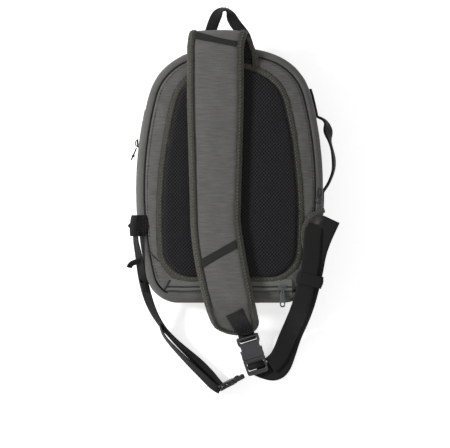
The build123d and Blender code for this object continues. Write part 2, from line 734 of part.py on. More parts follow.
def wire_ring(centre, radius=RING_RADIUS, wire=RING_WIRE):
    return Pos(*centre) * Torus(radius, wire)


MAIN_RING_Y = MAIN_SLIDER_Y - SLIDER_LENGTH / 2 - RING_RADIUS - RING_WIRE - CLEAR
MAIN_RING_X = side_x(MAIN_RING_Y, 6.0)
MAIN_RING_Z = MAIN_SLIDER_LOW + 2.0


def main_pull_ring():
    return wire_ring((MAIN_RING_X, MAIN_RING_Y, MAIN_RING_Z))


def front_slider():
    band = ring(BAG, -WEBBING_THICKNESS - SLIP - SLIDER_HEIGHT, -WEBBING_THICKNESS - SLIP, FRONT_SLIDER_Z - 4,
                FRONT_SLIDER_Z + 4)
    half = SLIDER_LENGTH / 2
    return band & block((-400, -60), (FRONT_SLIDER_Y - half, FRONT_SLIDER_Y + half), (0, 100))


FRONT_PULL_X = -side_x(FRONT_SLIDER_Y - 8) - 5.0


def front_pull():
    top_y = FRONT_SLIDER_Y - SLIDER_LENGTH / 2 - SLIP
    return block((FRONT_PULL_X - FRONT_PULL_THICKNESS, FRONT_PULL_X), (top_y - 16, top_y),
                 (FRONT_SLIDER_Z - 2, FRONT_SLIDER_Z + 2))


POCKET_SLIDER_LOW = FLAP_HIGH_Z + SLIP
POCKET_PULL_Z = POCKET_SLIDER_LOW + 1.8


def pocket_slider():
    half = SLIDER_LENGTH / 2
    body = block((POCKET_SLIDER_X - half, POCKET_SLIDER_X + half), (POCKET_ZIP_Y - 4, POCKET_ZIP_Y + 4),
                 (POCKET_SLIDER_LOW, POCKET_SLIDER_LOW + SLIDER_HEIGHT))
    return fillet(body.edges().filter_by(Axis.Z), 2.5)


def pocket_pull():
    top_y = POCKET_ZIP_Y - 4 - SLIP
    z = (POCKET_PULL_Z - PULL_THICKNESS / 2, POCKET_PULL_Z + PULL_THICKNESS / 2)
    half = PULL_WIDTH / 2
    body = block((POCKET_SLIDER_X - half, POCKET_SLIDER_X + half), (top_y - PULL_LENGTH, top_y), z)
    hole = raised(Pos(POCKET_SLIDER_X, top_y - PULL_LENGTH + half) * Circle(half - 1.4), 0, 200)
    return fillet(body.edges().filter_by(Axis.Z), half - 0.2) - hole


def build():
    socket, plug, prongs, _ = MAIN_BUCKLE
    small_socket, small_plug, small_prongs, _ = SMALL_BUCKLE
    return {
        "front_panel": front_panel(),
        "gusset_band": gusset_band(),
        "front_piping": front_piping(),
        "lining_wall": lining_wall(),
        "front_pocket_wall": front_pocket_wall(),
        "inner_sleeve": inner_sleeve(),
        "main_zip_body_half": body_zip(),
        "handle_patch_upper": handle_patch_upper(),
        "handle_patch_lower": handle_patch_lower(),
        "haul_loop_patch": haul_loop_patch(),
        "front_pocket_zip": front_zip(),
        "back_fabric": back_fabric(),
        "back_stiffener": back_stiffener(),
        "back_lining": back_lining(),
        "back_foam": back_foam(),
        "back_mesh": back_mesh(),
        "back_binding": back_binding(),
        "main_zip_lid_half": lid_zip(),
        "pocket_flap_upper": pocket_flap_upper(),
        "pocket_flap_lower": pocket_flap_lower(),
        "pocket_zip": pocket_zip(),
        "right_wing": right_wing(),
        "right_wing_binding": right_wing_binding(),
        "left_anchor_tab": left_anchor(),
        "strap_yoke": strap_yoke(),
        "strap_face": strap_face(),
        "strap_foam": strap_foam(),
        "strap_backing": strap_backing(),
        "strap_edge_binding": strap_binding(),
        "strap_tape_upper": strap_tape_upper(),
        "strap_tape_lower": strap_tape_lower(),
        "strap_end_webbing": strap_end_webbing(),
        "main_buckle_socket": MAIN_PLACE * socket,
        "main_buckle_plug": MAIN_PLACE * plug,
        "main_buckle_prong_left": MAIN_PLACE * prongs[0],
        "main_buckle_prong_right": MAIN_PLACE * prongs[1],
        "small_buckle_socket": SMALL_PLACE * small_socket,
        "small_buckle_plug": SMALL_PLACE * small_plug,
        "small_buckle_prong_lower": SMALL_PLACE * small_prongs[0],
        "small_buckle_prong_upper": SMALL_PLACE * small_prongs[1],
        "wide_webbing": free_webbing("wide_webbing", WIDE_ROUTE, WIDE_WEBBING, True),
        "wide_webbing_tail": free_webbing("wide_webbing_tail", WIDE_TAIL_ROUTE, WIDE_WEBBING, True),
        "wide_webbing_keeper": wide_keeper(),
        "narrow_webbing": free_webbing("narrow_webbing", NARROW_ROUTE, NARROW_WEBBING, False),
        "narrow_webbing_tail": free_webbing("narrow_webbing_tail", NARROW_TAIL_ROUTE, NARROW_WEBBING, False),
        "narrow_webbing_keeper": narrow_keeper(),
        "haul_loop": haul_loop(),
        "side_handle": side_handle(),
        "main_zip_slider": main_slider(),
        "main_zip_ring": main_pull_ring(),
        "front_zip_slider": front_slider(),
        "front_zip_pull": front_pull(),
        "pocket_zip_slider": pocket_slider(),
        "pocket_zip_pull": pocket_pull(),
    }


os.makedirs("parts", exist_ok=True)
PARTS = build()
for node, shape in PARTS.items():
    export_step(shape, f"parts/{node}.step")
print(len(PARTS), "nodes")
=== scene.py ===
"""Looks of a sling bag: fabric shell, mesh back pad, padded shoulder strap, webbing, buckles and zips."""

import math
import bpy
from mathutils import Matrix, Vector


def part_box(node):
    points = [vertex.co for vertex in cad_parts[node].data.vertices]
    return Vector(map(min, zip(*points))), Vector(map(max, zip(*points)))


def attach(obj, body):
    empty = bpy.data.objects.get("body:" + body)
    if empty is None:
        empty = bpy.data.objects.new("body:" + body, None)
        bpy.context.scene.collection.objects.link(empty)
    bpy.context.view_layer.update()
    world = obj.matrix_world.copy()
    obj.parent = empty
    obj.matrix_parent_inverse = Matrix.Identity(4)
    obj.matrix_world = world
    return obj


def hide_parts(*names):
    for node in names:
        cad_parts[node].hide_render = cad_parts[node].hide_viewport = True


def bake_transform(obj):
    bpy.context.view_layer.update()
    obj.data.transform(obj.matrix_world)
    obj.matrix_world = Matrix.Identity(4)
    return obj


bl_info = {
    "name": "Sling Bag",
    "version": (1, 0, 0),
    "blender": (4, 5, 0),
    "location": "View3D > Sidebar > Sling Bag",
    "description": "Builds the sling bag's soft parts, fittings and studio around its packed frame",
    "category": "Object",
}

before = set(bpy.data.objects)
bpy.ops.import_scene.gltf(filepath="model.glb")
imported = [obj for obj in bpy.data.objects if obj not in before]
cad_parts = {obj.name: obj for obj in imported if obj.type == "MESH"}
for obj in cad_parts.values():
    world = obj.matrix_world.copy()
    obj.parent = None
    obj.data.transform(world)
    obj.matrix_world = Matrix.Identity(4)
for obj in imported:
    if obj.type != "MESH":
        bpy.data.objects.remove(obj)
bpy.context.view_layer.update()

import bpy
from bpy.props import FloatProperty, FloatVectorProperty, IntProperty, PointerProperty
from mathutils import Matrix, Vector, noise

MM = 0.001
ZIP_END_Y = -150
INNER_LINING_INSET = 24
WIDE_LIMIT = 20
SLIDER_LIFT = 0.9
BAG_BODY = "bag_body"
LID = "back_panel"
STRAP = "shoulder_strap"


# --- sizes read from the frame ------------------------------

def limits(node):
    """Lowest and highest corner of a frame node, in millimetres."""
    low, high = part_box(node)
    return low / MM, high / MM


SHELL_LOW, SHELL_HIGH = limits("gusset_band")
FRONT_LOW, FRONT_HIGH = limits("front_panel")
LID_LOW, LID_HIGH = limits("back_fabric")
PAD_LOW, PAD_HIGH = limits("back_mesh")
YOKE_LOW, YOKE_HIGH = limits("strap_yoke")
WING_LOW, WING_HIGH = limits("right_wing")
TAB_LOW, TAB_HIGH = limits("left_anchor_tab")
SLIDER_LOW, SLIDER_HIGH = limits("pocket_zip_slider")

RIM_Z = SHELL_HIGH.z
HALF_WIDTH = SHELL_HIGH.x
TOP_Y = SHELL_HIGH.y
BOTTOM_Y = SHELL_LOW.y
LID_INSET = HALF_WIDTH - LID_HIGH.x
PAD_TOP_Z = PAD_HIGH.z


# --- settings ------------------------------

def colour_setting(name, text, default):
    return FloatVectorProperty(name=name, description=text, subtype="COLOR", size=3, min=0, max=1,
                               default=default)


def size_setting(name, text, default):
    """A length in metres, shown in scene units."""
    return FloatProperty(name=name, description=text, unit="LENGTH", subtype="DISTANCE", min=0,
                         default=default)


class SlingBagColours(bpy.types.PropertyGroup):
    fabric: colour_setting("Grey fabric", "Slubbed outer fabric", (0.108, 0.107, 0.102))
    binding: colour_setting("Binding", "Olive edge binding", (0.068, 0.067, 0.056))
    webbing: colour_setting("Webbing", "Black webbing and tapes", (0.0105, 0.0105, 0.0105))
    mesh: colour_setting("Mesh", "Spacer mesh on the back pad", (0.016, 0.016, 0.018))
    flap: colour_setting("Pocket flap", "Pale flap over the lower pocket", (0.135, 0.141, 0.130))
    plastic: colour_setting("Buckle", "Moulded buckle plastic", (0.052, 0.052, 0.056))
    metal: colour_setting("Zip pull", "Slate coated zip slider and pull", (0.085, 0.103, 0.100))
    lining: colour_setting("Lining", "Inside of the bag", (0.170, 0.178, 0.175))


class SlingBagSizes(bpy.types.PropertyGroup):
    weave: size_setting("Weave", "Spacing of the fabric's threads", 0.0011)
    mesh_pitch: size_setting("Mesh pitch", "Spacing of the holes in the spacer mesh", 0.0047)
    stitch: size_setting("Stitch", "Length of one stitch", 0.0030)
    stitch_gap: size_setting("Stitch gap", "Space between stitches", 0.0017)
    binding_width: size_setting("Binding width", "Width of the olive binding", 0.0105)
    pad_crown: size_setting("Pad crown", "How far the strap's face swells", 0.0022)
    sag: size_setting("Sag", "Depth of the soft dents in the shell", 0.0022)
    around: IntProperty(name="Around", description="Points round the bag's outline", default=288, min=48,
                        max=800)


class SlingBagStage(bpy.types.PropertyGroup):
    floor: colour_setting("Floor", "Pale floor", (0.93, 0.93, 0.93))
    view_width: size_setting("View width", "Width of floor that the camera sees", 0.632)
    camera_height: size_setting("Camera height", "Height of the camera over the floor", 2.6)
    key_power: FloatProperty(name="Key light", description="Power of the key light", unit="POWER",
                             default=36.0)


def colours():
    return bpy.context.scene.sling_bag_colours


def sizes():
    return bpy.context.scene.sling_bag_sizes


# --- shader maths ------------------------------

class Value:
    """A shader socket that takes part in sums."""

    def __init__(self, shade, socket):
        self.shade = shade
        self.socket = socket

    def math(self, operation, first, second):
        return self.shade.node("ShaderNodeMath", {"operation": operation}, [first, second])

    def __add__(self, other):
        return self.math("ADD", self, other)

    def __radd__(self, other):
        return self.math("ADD", other, self)

    def __sub__(self, other):
        return self.math("SUBTRACT", self, other)

    def __rsub__(self, other):
        return self.math("SUBTRACT", other, self)

    def __mul__(self, other):
        return self.math("MULTIPLY", self, other)

    def __rmul__(self, other):
        return self.math("MULTIPLY", other, self)

    def __truediv__(self, other):
        return self.math("DIVIDE", self, other)

    def one(self, operation, second=0.0):
        return self.math(operation, self, second)

    def clamped(self):
        """Held between 0 and 1."""
        return self.one("MAXIMUM", 0.0).one("MINIMUM", 1.0)


class Shade:
    """A material being built round one Principled shader."""

    def __init__(self, name, **constants):
        self.material = bpy.data.materials.new(name)
        self.material.use_nodes = True
        self.tree = self.material.node_tree
        self.surface = self.tree.nodes["Principled BSDF"]
        for socket, value in constants.items():
            self.surface.inputs[socket.replace("_", " ")].default_value = value

    def node(self, kind, settings=None, inputs=None, output=0):
        """Adds a node: its settings first, then the values or links of its sockets, by place or by name."""
        made = self.tree.nodes.new(kind)
        for key, value in (settings or {}).items():
            if key == "stops":
                self.set_stops(made.color_ramp, value)
            else:
                setattr(made, key, value)
        pairs = inputs.items() if isinstance(inputs, dict) else enumerate(inputs or [])
        for key, value in pairs:
            if isinstance(value, Value):
                self.tree.links.new(value.socket, made.inputs[key])
            else:
                made.inputs[key].default_value = value
        return Value(self, made.outputs[output])

    def set_stops(self, ramp, stops):
        while len(ramp.elements) < len(stops):
            ramp.elements.new(1.0)
        for element, (place, colour) in zip(ramp.elements, stops):
            element.position = place
            element.color = (*colour, 1) if len(colour) == 3 else colour

    def coordinates(self, flat):
        """X, Y, Z in millimetres: along the piece's own cloth, or through space."""
        place = self.node("ShaderNodeTexCoord", output=2 if flat else 3)
        scaled = self.node("ShaderNodeVectorMath", {"operation": "SCALE"}, {0: place, "Scale": 1 / MM})
        parts = [self.node("ShaderNodeSeparateXYZ", None, [scaled], output) for output in range(3)]
        return scaled, parts

    def stretch(self, vector, scale):
        return self.node("ShaderNodeVectorMath", {"operation": "MULTIPLY"}, [vector, scale])

    def noise(self, vector, scale, detail=3.0, roughness=0.55):
        return self.node("ShaderNodeTexNoise", None,
                         {"Vector": vector, "Scale": scale, "Detail": detail, "Roughness": roughness})

    def mix(self, factor, first, second):
        settings = {"data_type": "RGBA", "clamp_factor": True}
        return self.node("ShaderNodeMix", settings, {0: factor, 6: first, 7: second}, 2)

    def tint(self, colour, factor):
        """Colour made lighter or darker by a varying factor."""
        return self.mix(factor, (0, 0, 0, 1), (*[min(1, part * 2) for part in colour], 1))

    def wave(self, value, pitch):
        """0 to 1 and back once per pitch."""
        return (value * (2 * math.pi / pitch)).one("SINE") * 0.5 + 0.5

    def finish(self, colour=None, roughness=None, height=None, depth=0.4, distance=0.001):
        if colour is not None:
            self.tree.links.new(colour.socket, self.surface.inputs["Base Color"])
        if roughness is not None:
            self.tree.links.new(roughness.socket, self.surface.inputs["Roughness"])
        if height is not None:
            bump = self.node("ShaderNodeBump", None,
                             {"Strength": depth, "Distance": distance, "Height": height})
            self.tree.links.new(bump.socket, self.surface.inputs["Normal"])
        return self.material


def grey_fabric(name, colour, flat=True, slub=1.0):
    """Plain weave with long slubs that run across the bag."""
    shade = Shade(name, Sheen_Weight=0.06, Sheen_Roughness=0.5, Specular_IOR_Level=0.2)
    place, (across, up, _) = shade.coordinates(flat)
    pitch = sizes().weave / MM
    slubs = shade.noise(shade.stretch(place, (0.045, 0.62, 0.62)), 1.0, 4.0, 0.6)
    fine = shade.noise(shade.stretch(place, (0.35, 1.9, 1.9)), 1.0, 2.0)
    cloud = shade.noise(place, 0.02, 2.0)
    weft = shade.wave(up, pitch)
    warp = shade.wave(across, pitch)
    weave = weft * 0.6 + warp * 0.4
    streak = shade.noise(shade.stretch(place, (0.03, 0.85, 0.85)), 1.0, 1.0)
    bright = ((streak - 0.58) * 5.0).clamped()
    tone = (0.49 + (slubs - 0.5) * (0.62 * slub) + (fine - 0.5) * 0.3 + (weave - 0.5) * 0.13 + (cloud - 0.5) * 0.12
            + bright * (0.13 * slub))
    rough = 0.86 + (slubs - 0.5) * 0.15
    return shade.finish(shade.tint(colour, tone), rough, weave * 0.6 + slubs * 0.7 + fine * 0.3, 0.35,
                        0.0006)


def binding_fabric(name, colour, flat=True):
    """Twill tape: slanted ribs and a slightly furry face."""
    shade = Shade(name, Sheen_Weight=0.06, Sheen_Roughness=0.5, Specular_IOR_Level=0.15)
    place, (along, across, _) = shade.coordinates(flat)
    ribs = shade.wave(along + across * 0.9, 3.1)
    fleck = shade.noise(place, 0.55, 3.0, 0.75)
    cloud = shade.noise(place, 0.05, 2.0)
    coarse = shade.noise(place, 1.1, 2.0, 0.8)
    tone = 0.5 + (ribs - 0.5) * 0.5 + (fleck - 0.5) * 1.5 + (coarse - 0.5) * 1.1 + (cloud - 0.5) * 0.2
    return shade.finish(shade.tint(colour, tone), 0.85 + fleck * 0.1, ribs * 0.7 + fleck * 0.5, 0.5, 0.0006)


def webbing_fabric(name, colour, width, flat=True):
    """Ribbed webbing: ribs along it, picks across it and a firmer edge."""
    shade = Shade(name, Sheen_Weight=0.015, Sheen_Roughness=0.4, Specular_IOR_Level=0.22)
    place, (along, across, _) = shade.coordinates(flat)
    ribs = shade.wave(across, width / 11)
    picks = shade.wave(along + shade.wave(across, width / 5.5) * 0.8, 1.5)
    fleck = shade.noise(place, 0.6, 3.0)
    tone = 0.44 + ribs * 0.14 + (picks - 0.5) * 0.2 + (fleck - 0.5) * 0.3
    return shade.finish(shade.tint(colour, tone), 0.62 + picks * 0.12 + fleck * 0.1,
                        ribs * 0.6 + picks * 0.5, 0.5,
                        0.0005)


def spacer_mesh(name, colour):
    """Six-sided holes in rows, painted dark at the bottom as shade inside the holes, with round shiny threads between
    them.
    """
    shade = Shade(name, Sheen_Weight=0.01, Specular_IOR_Level=0.2)
    place, (across, up, _) = shade.coordinates(True)
    pitch = sizes().mesh_pitch / MM

    def cell(shift_x, shift_y):
        x = (across / pitch + shift_x).one("FRACT") - 0.5
        y = (up / (pitch * 1.1) + shift_y).one("FRACT") - 0.5
        return (x * x + y * y * 1.1).one("SQRT")

    first = cell(0.0, 0.0)
    second = cell(0.5, 0.5)
    distance = first.one("MINIMUM", second)
    wall = ((distance - 0.17) * 7.0).clamped()
    threads = shade.wave(up + across * 0.6, 0.8) * 0.5 + shade.wave(up - across * 0.6, 0.8) * 0.5
    cloud = shade.noise(place, 0.03, 2.0)
    # Painted shade: tone is low in the holes, where their depth would be shaded, and higher on the walls.
    tone = 0.12 + wall * 0.42 + threads * wall * 0.2 + (cloud - 0.5) * 0.1
    return shade.finish(shade.tint(colour, tone), 0.75 - wall * 0.2, wall + threads * 0.15, 0.9, 0.0016)


def moulded_plastic(name, colour):
    """Satin moulded plastic with a fine spark texture and colour painted lighter along its sharp edges."""
    shade = Shade(name, Specular_IOR_Level=0.5)
    place, _ = shade.coordinates(False)
    spark = shade.noise(place, 2.5, 2.0)
    cloud = shade.noise(place, 0.12, 3.0)
    edge = shade.node("ShaderNodeNewGeometry", output=7)
    # Colour painted lighter on sharp convex edges, found from pointiness.
    pale_edges = ((edge - 0.52) * 6.0).clamped()
    tone = 0.48 + (cloud - 0.5) * 0.16 + pale_edges * 0.25 + (spark - 0.5) * 0.05
    return shade.finish(shade.tint(colour, tone), 0.42 + (spark - 0.5) * 0.25, spark, 0.12, 0.0003)


def coated_metal(name, colour):
    """Slate lacquer over cast metal, rubbed bright where it is handled."""
    shade = Shade(name, Specular_IOR_Level=0.5)
    place, _ = shade.coordinates(False)
    cloud = shade.noise(place, 0.35, 3.0)
    edge = shade.node("ShaderNodeNewGeometry", output=7)
    pale_edges = ((edge - 0.53) * 8.0).clamped() * cloud
    paint = shade.tint(colour, 0.45 + (cloud - 0.5) * 0.3)
    return_colour = shade.mix(pale_edges, paint, (0.32, 0.33, 0.33, 1))
    shade.tree.links.new((pale_edges * 0.8).socket, shade.surface.inputs["Metallic"])
    return shade.finish(return_colour, 0.38 + (cloud - 0.5) * 0.2, cloud, 0.05, 0.0003)


def cord_fabric(name, colour):
    """Thin round cord with a diagonal braid."""
    shade = Shade(name, Sheen_Weight=0.04, Specular_IOR_Level=0.2)
    _, (x, y, z) = shade.coordinates(False)
    braid = shade.wave(x + y + z, 1.1) * shade.wave(x - y + z, 1.1)
    return shade.finish(shade.tint(colour, 0.35 + braid * 0.5), 0.7 + braid * 0.1, braid, 0.6, 0.0005)


def thread(name, colour):
    """Polyester sewing thread with a twist."""
    shade = Shade(name, Sheen_Weight=0.05, Specular_IOR_Level=0.2)
    _, (x, y, z) = shade.coordinates(False)
    twist = shade.wave(x + y + z, 0.5)
    return shade.finish(shade.tint(colour, 0.42 + twist * 0.2), 0.55 + twist * 0.1, twist, 0.3, 0.0002)


def paint(piece, slot, material):
    """Gives a piece its finish; the slot is not used."""
    piece.data.materials.clear()
    piece.data.materials.append(material)
    return piece


def fit(piece, slot, finish, body, *nodes):
    """Paints a piece, hides the frame nodes that it stands for and rides it on its body."""
    paint(piece, slot, finish_of(finish))
    if nodes:
        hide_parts(*nodes)
    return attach(piece, body)


MATERIALS = {}


def finish_of(key):
    """Each finish is built once, from the current colours."""
    if key not in MATERIALS:
        c = colours()
        black = tuple(c.webbing)

        def times(colour, share):
            return tuple(part * share for part in colour)

        makers = {
            "fabric": lambda: grey_fabric("grey_fabric", tuple(c.fabric)),
            "fabric_side": lambda: grey_fabric("grey_fabric_side", tuple(c.fabric), True, 0.7),
            "strap_fabric": lambda: grey_fabric("strap_fabric", times(c.fabric, 1.12), True, 0.8),
            "binding": lambda: binding_fabric("olive_binding", tuple(c.binding)),
            "seam_edge": lambda: binding_fabric("pale_seam_edge", times(c.binding, 1.7)),
            "webbing": lambda: webbing_fabric("black_webbing", black, 25),
            "narrow_webbing": lambda: webbing_fabric("narrow_black_webbing", black, 15),
            "tape": lambda: webbing_fabric("dark_tape", times(black, 2.2), 11),
            "mesh": lambda: spacer_mesh("spacer_mesh", tuple(c.mesh)),
            "flap": lambda: grey_fabric("pocket_flap_fabric", tuple(c.flap), True, 0.45),
            "plastic": lambda: moulded_plastic("buckle_plastic", tuple(c.plastic)),
            "metal": lambda: coated_metal("slate_zip_metal", tuple(c.metal)),
            "dark_plastic": lambda: moulded_plastic("dark_buckle_plastic", times(c.plastic, 0.38)),
            "dark_metal": lambda: coated_metal("dark_zip_metal", times(c.metal, 0.3)),
            "zip": lambda: moulded_plastic("zip_coil", (0.016, 0.016, 0.016)),
            "lining": lambda: grey_fabric("lining_fabric", tuple(c.lining), True, 0.3),
            "cord": lambda: cord_fabric("black_cord", black),
            "thread": lambda: thread("olive_thread", times(c.binding, 2.3)),
            "dark_thread": lambda: thread("dark_thread", times(c.binding, 0.45)),
            "black_thread": lambda: thread("black_thread", times(black, 2.4)),
        }
        MATERIALS[key] = makers[key]()
    return MATERIALS[key]


# --- outlines ------------------------------

BAG_ARCS = {"widest_y": -20.0, "side": 539.0, "shoulder": 85.0, "crown": 197.0, "corner": 45.0}
PAD_ARCS = {"widest_y": -60.0, "side": 680.0, "shoulder": 62.0, "crown": 95.0, "corner": 40.0}


def meeting(centre_a, radius_a, centre_b, radius_b, radius):
    """Centre of the circle tangent inside two others, on their right side."""
    reach_a, reach_b = radius_a - radius, radius_b - radius
    dx, dy = centre_b[0] - centre_a[0], centre_b[1] - centre_a[1]
    gap = math.hypot(dx, dy)
    along = (reach_a**2 - reach_b**2 + gap**2) / (2 * gap)
    off = math.sqrt(reach_a**2 - along**2)
    foot = (centre_a[0] + dx / gap * along, centre_a[1] + dy / gap * along)
    options = [(foot[0] - dy / gap * off, foot[1] + dx / gap * off),
               (foot[0] + dy / gap * off, foot[1] - dx / gap * off)]
    return max(options, key=sum)


def outline(half_width, top_y, bottom_y, arcs, inset, count):
    """Points round an egg of tangent arcs, evenly spaced, clockwise from the middle of its top."""
    side_r, shoulder_r, crown_r, corner_r = (arcs[key] for key in ("side", "shoulder", "crown", "corner"))
    side = (half_width - side_r, arcs["widest_y"])
    crown = (0.0, top_y - crown_r)
    shoulder = meeting(side, side_r, crown, crown_r, shoulder_r)
    corner_y = bottom_y + corner_r
    corner = (side[0] + math.sqrt((side_r - corner_r) ** 2 - (corner_y - side[1]) ** 2), corner_y)

    def heading(start, end):
        return math.atan2(end[1] - start[1], end[0] - start[0])

    turns = [math.pi / 2, heading(crown, shoulder), heading(side, shoulder), heading(side, corner),
             -math.pi / 2]
    runs = [
        (crown, crown_r - inset, turns[0], turns[1]),
        (shoulder, shoulder_r - inset, turns[1], turns[2]),
        (side, side_r - inset, turns[2], turns[3]),
        (corner, max(1.0, corner_r - inset), turns[3], turns[4]),
    ]
    lengths = [radius * abs(start - end) for _, radius, start, end in runs] + [corner[0]]
    total = sum(lengths)
    half = []
    for i in range(count // 2 + 1):
        reach = total * i / (count // 2)
        for (centre, radius, start, end), length in zip(runs, lengths):
            if reach <= length:
                angle = start + (end - start) * reach / length
                half.append((centre[0] + radius * math.cos(angle), centre[1] + radius * math.sin(angle)))
                break
            reach -= length
        else:
            half.append((corner[0] - reach, bottom_y + inset))
    return half + [(-x, y) for x, y in half[-2:0:-1]]


def bag_outline(inset):
    return outline(HALF_WIDTH, TOP_Y, BOTTOM_Y, BAG_ARCS, inset, sizes().around)


def pad_outline(inset):
    return outline(PAD_HIGH.x + 0.3, PAD_HIGH.y + 0.3, PAD_LOW.y - 0.3, PAD_ARCS, inset, sizes().around)


def shrink(points, share, centre):
    return [(centre[0] + (x - centre[0]) * share, centre[1] + (y - centre[1]) * share) for x, y in points]


# --- mesh building ------------------------------

def new_mesh(name, points, faces, uvs=None, smooth=True):
    """Mesh object from points in millimetres."""
    mesh = bpy.data.meshes.new(name)
    mesh.from_pydata([Vector(point) * MM for point in points], [], faces)
    if uvs:
        layer = mesh.uv_layers.new(name="cloth")
        for loop in mesh.loops:
            u, v = uvs[loop.vertex_index]
            layer.data[loop.index].uv = (u * MM, v * MM)
    mesh.polygons.foreach_set("use_smooth", [smooth] * len(mesh.polygons))
    mesh.update()
    return link(bpy.data.objects.new(name, mesh))


def grid(name, rows, around=False, ring=False, flat=False, outward=True):
    """Sheet through rows of points. around joins each row's ends, ring joins the last row to the first.
    Cloth coordinates are distances along and across, or X and Y where the sheet lies flat."""
    height, width = len(rows), len(rows[0])
    points = [point for row in rows for point in row]
    faces = []
    for i in range(height if ring else height - 1):
        for j in range(width if around else width - 1):
            a, b = i * width + j, i * width + (j + 1) % width
            c, d = ((i + 1) % height) * width + (j + 1) % width, ((i + 1) % height) * width + j
            faces.append((a, b, c, d) if outward else (d, c, b, a))
    if flat:
        uvs = [(point[0], point[1]) for point in points]
    else:
        uvs = []
        down = 0.0
        for i, row in enumerate(rows):
            if i:
                down += (Vector(row[0]) - Vector(rows[i - 1][0])).length
            along = 0.0
            for j, point in enumerate(row):
                if j:
                    along += (Vector(point) - Vector(row[j - 1])).length
                uvs.append((along, down))
    return new_mesh(name, points, faces, uvs)


def tidy(piece, thickness=0.0, rounding=0.0, levels=0, offset=0.0):
    """Adds thickness, a rounded edge and subdivision, and applies them."""
    if thickness:
        solid = piece.modifiers.new("thickness", "SOLIDIFY")
        solid.thickness = thickness * MM
        solid.offset = offset
    if rounding:
        bevel = piece.modifiers.new("rounding", "BEVEL")
        bevel.width = rounding * MM
        bevel.segments = 2
        bevel.limit_method = "ANGLE"
        bevel.angle_limit = math.radians(40)
    if levels:
        piece.modifiers.new("subdivision", "SUBSURF").levels = levels
        piece.modifiers["subdivision"].render_levels = levels
    apply_modifiers(piece)
    return piece


def link(piece):
    bpy.context.scene.collection.objects.link(piece)
    return piece


def evaluated_mesh(piece):
    """Mesh of a piece with its curve or modifiers worked out."""
    bpy.context.view_layer.update()
    return bpy.data.meshes.new_from_object(piece.evaluated_get(bpy.context.evaluated_depsgraph_get()))


def apply_modifiers(piece):
    mesh = evaluated_mesh(piece)
    piece.modifiers.clear()
    piece.data = mesh


def soften(piece, amount, size, seed, keep=None):
    """Pushes points in and out along their normals by smooth noise, less where keep says so."""
    mesh = piece.data
    shift = Vector((seed * 7.3, seed * 3.1, seed * 11.7))
    moves = []
    for vertex in mesh.vertices:
        place = vertex.co / MM
        share = keep(place) if keep else 1.0
        push = noise.noise(place / size + shift) + 0.4 * noise.noise(place / size * 2.3 + shift)
        moves.append(vertex.normal * (push * amount * share * MM))
    for vertex, move in zip(mesh.vertices, moves):
        vertex.co += move
    mesh.update()
    return piece


def along_path(points, step, start=0.0, closed=False):
    """Evenly spaced places and headings along a chain of points."""
    chain = [Vector(point) for point in points]
    if closed:
        chain.append(chain[0])
    places = []
    target = start
    passed = 0.0
    for a, b in zip(chain, chain[1:]):
        length = (b - a).length
        while length and target <= passed + length:
            places.append((a.lerp(b, (target - passed) / length), (b - a).normalized()))
            target += step
        passed += length
    return places


def lozenges(name, places, length, width, height, up=None, turn=0.0):
    """Small rounded bars, one at each place: stitches, zip teeth or ribs."""
    points, faces = [], []
    for place, heading in places:
        lift = Vector((0, 0, 1)) if up is None else up(place)
        side = lift.cross(heading)
        side = side.normalized() if side.length > 1e-6 else Vector((1, 0, 0))
        ahead = (heading * math.cos(turn) + side * math.sin(turn)) * (length / 2)
        side = lift.cross(ahead).normalized() * (width / 2)
        base = len(points)
        for at, size in ((-1.0, 0.35), (-0.6, 1.0), (0.6, 1.0), (1.0, 0.35)):
            middle = place + ahead * at
            points += [middle - side * size - lift * 0.3, middle - side * size * 0.5 + lift * height * size,
                       middle + side * size * 0.5 + lift * height * size, middle + side * size - lift * 0.3]
        for ring in range(3):
            for corner in range(4):
                a = base + ring * 4 + corner
                b = base + ring * 4 + (corner + 1) % 4
                faces.append((a, b, b + 4, a + 4))
        faces += [(base, base + 3, base + 2, base + 1), (base + 12, base + 13, base + 14, base + 15)]
    return new_mesh(name, points, faces)


def stitches(name, points, body, closed=False, finish="thread", turn=0.0, up=None, width=0.8, start=0.0):
    """A row of stitches along a line, riding on a body."""
    size = sizes()
    step = (size.stitch + size.stitch_gap) / MM
    places = along_path(points, step, start, closed)
    piece = lozenges(name, places, size.stitch / MM, width, 0.35, up, turn)
    paint(piece, "olive_binding", finish_of(finish))
    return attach(piece, body)


def tube(name, points, radius, sides=8, closed=False):
    """Round bar along points."""
    rows = []
    chain = [Vector(point) for point in points]
    count = len(chain)
    side = None
    for i, place in enumerate(chain):
        before = chain[(i - 1) % count] if closed or i else place
        after = chain[(i + 1) % count] if closed or i < count - 1 else place
        ahead = (after - before).normalized()
        if side is None:
            side = ahead.cross(Vector((0, 0, 1)))
            if side.length < 0.1:
                side = ahead.cross(Vector((0, 1, 0)))
        side = (side - ahead * side.dot(ahead)).normalized()
        lift = ahead.cross(side)
        rows.append([place + side * radius * math.cos(t) + lift * radius * math.sin(t)
                     for t in (2 * math.pi * k / sides for k in range(sides))])
    piece = grid(name, rows, around=True, ring=closed, outward=False)
    return piece if closed else cap_ends(piece, count, sides)


def cap_ends(piece, count, sides):
    mesh = piece.data
    points = [vertex.co / MM for vertex in mesh.vertices]
    faces = [tuple(polygon.vertices) for polygon in mesh.polygons]
    faces.append(tuple(range(sides)))
    faces.append(tuple(reversed(range((count - 1) * sides, count * sides))))
    uvs = [(0.0, 0.0)] * len(points)
    for loop, layer in zip(mesh.loops, mesh.uv_layers[0].data):
        uvs[loop.vertex_index] = (layer.uv[0] / MM, layer.uv[1] / MM)
    fresh = new_mesh(piece.name + "_capped", points, faces, uvs)
    name = piece.name
    bpy.data.objects.remove(piece)
    fresh.name = name
    return fresh


# --- bag body ------------------------------

FRONT_ROUNDING = 20.0
RIM_ROUNDING = 9.0
LIP_INSET = LID_INSET - 2.0


def at_height(points, z):
    return [(x, y, z) for x, y in points]


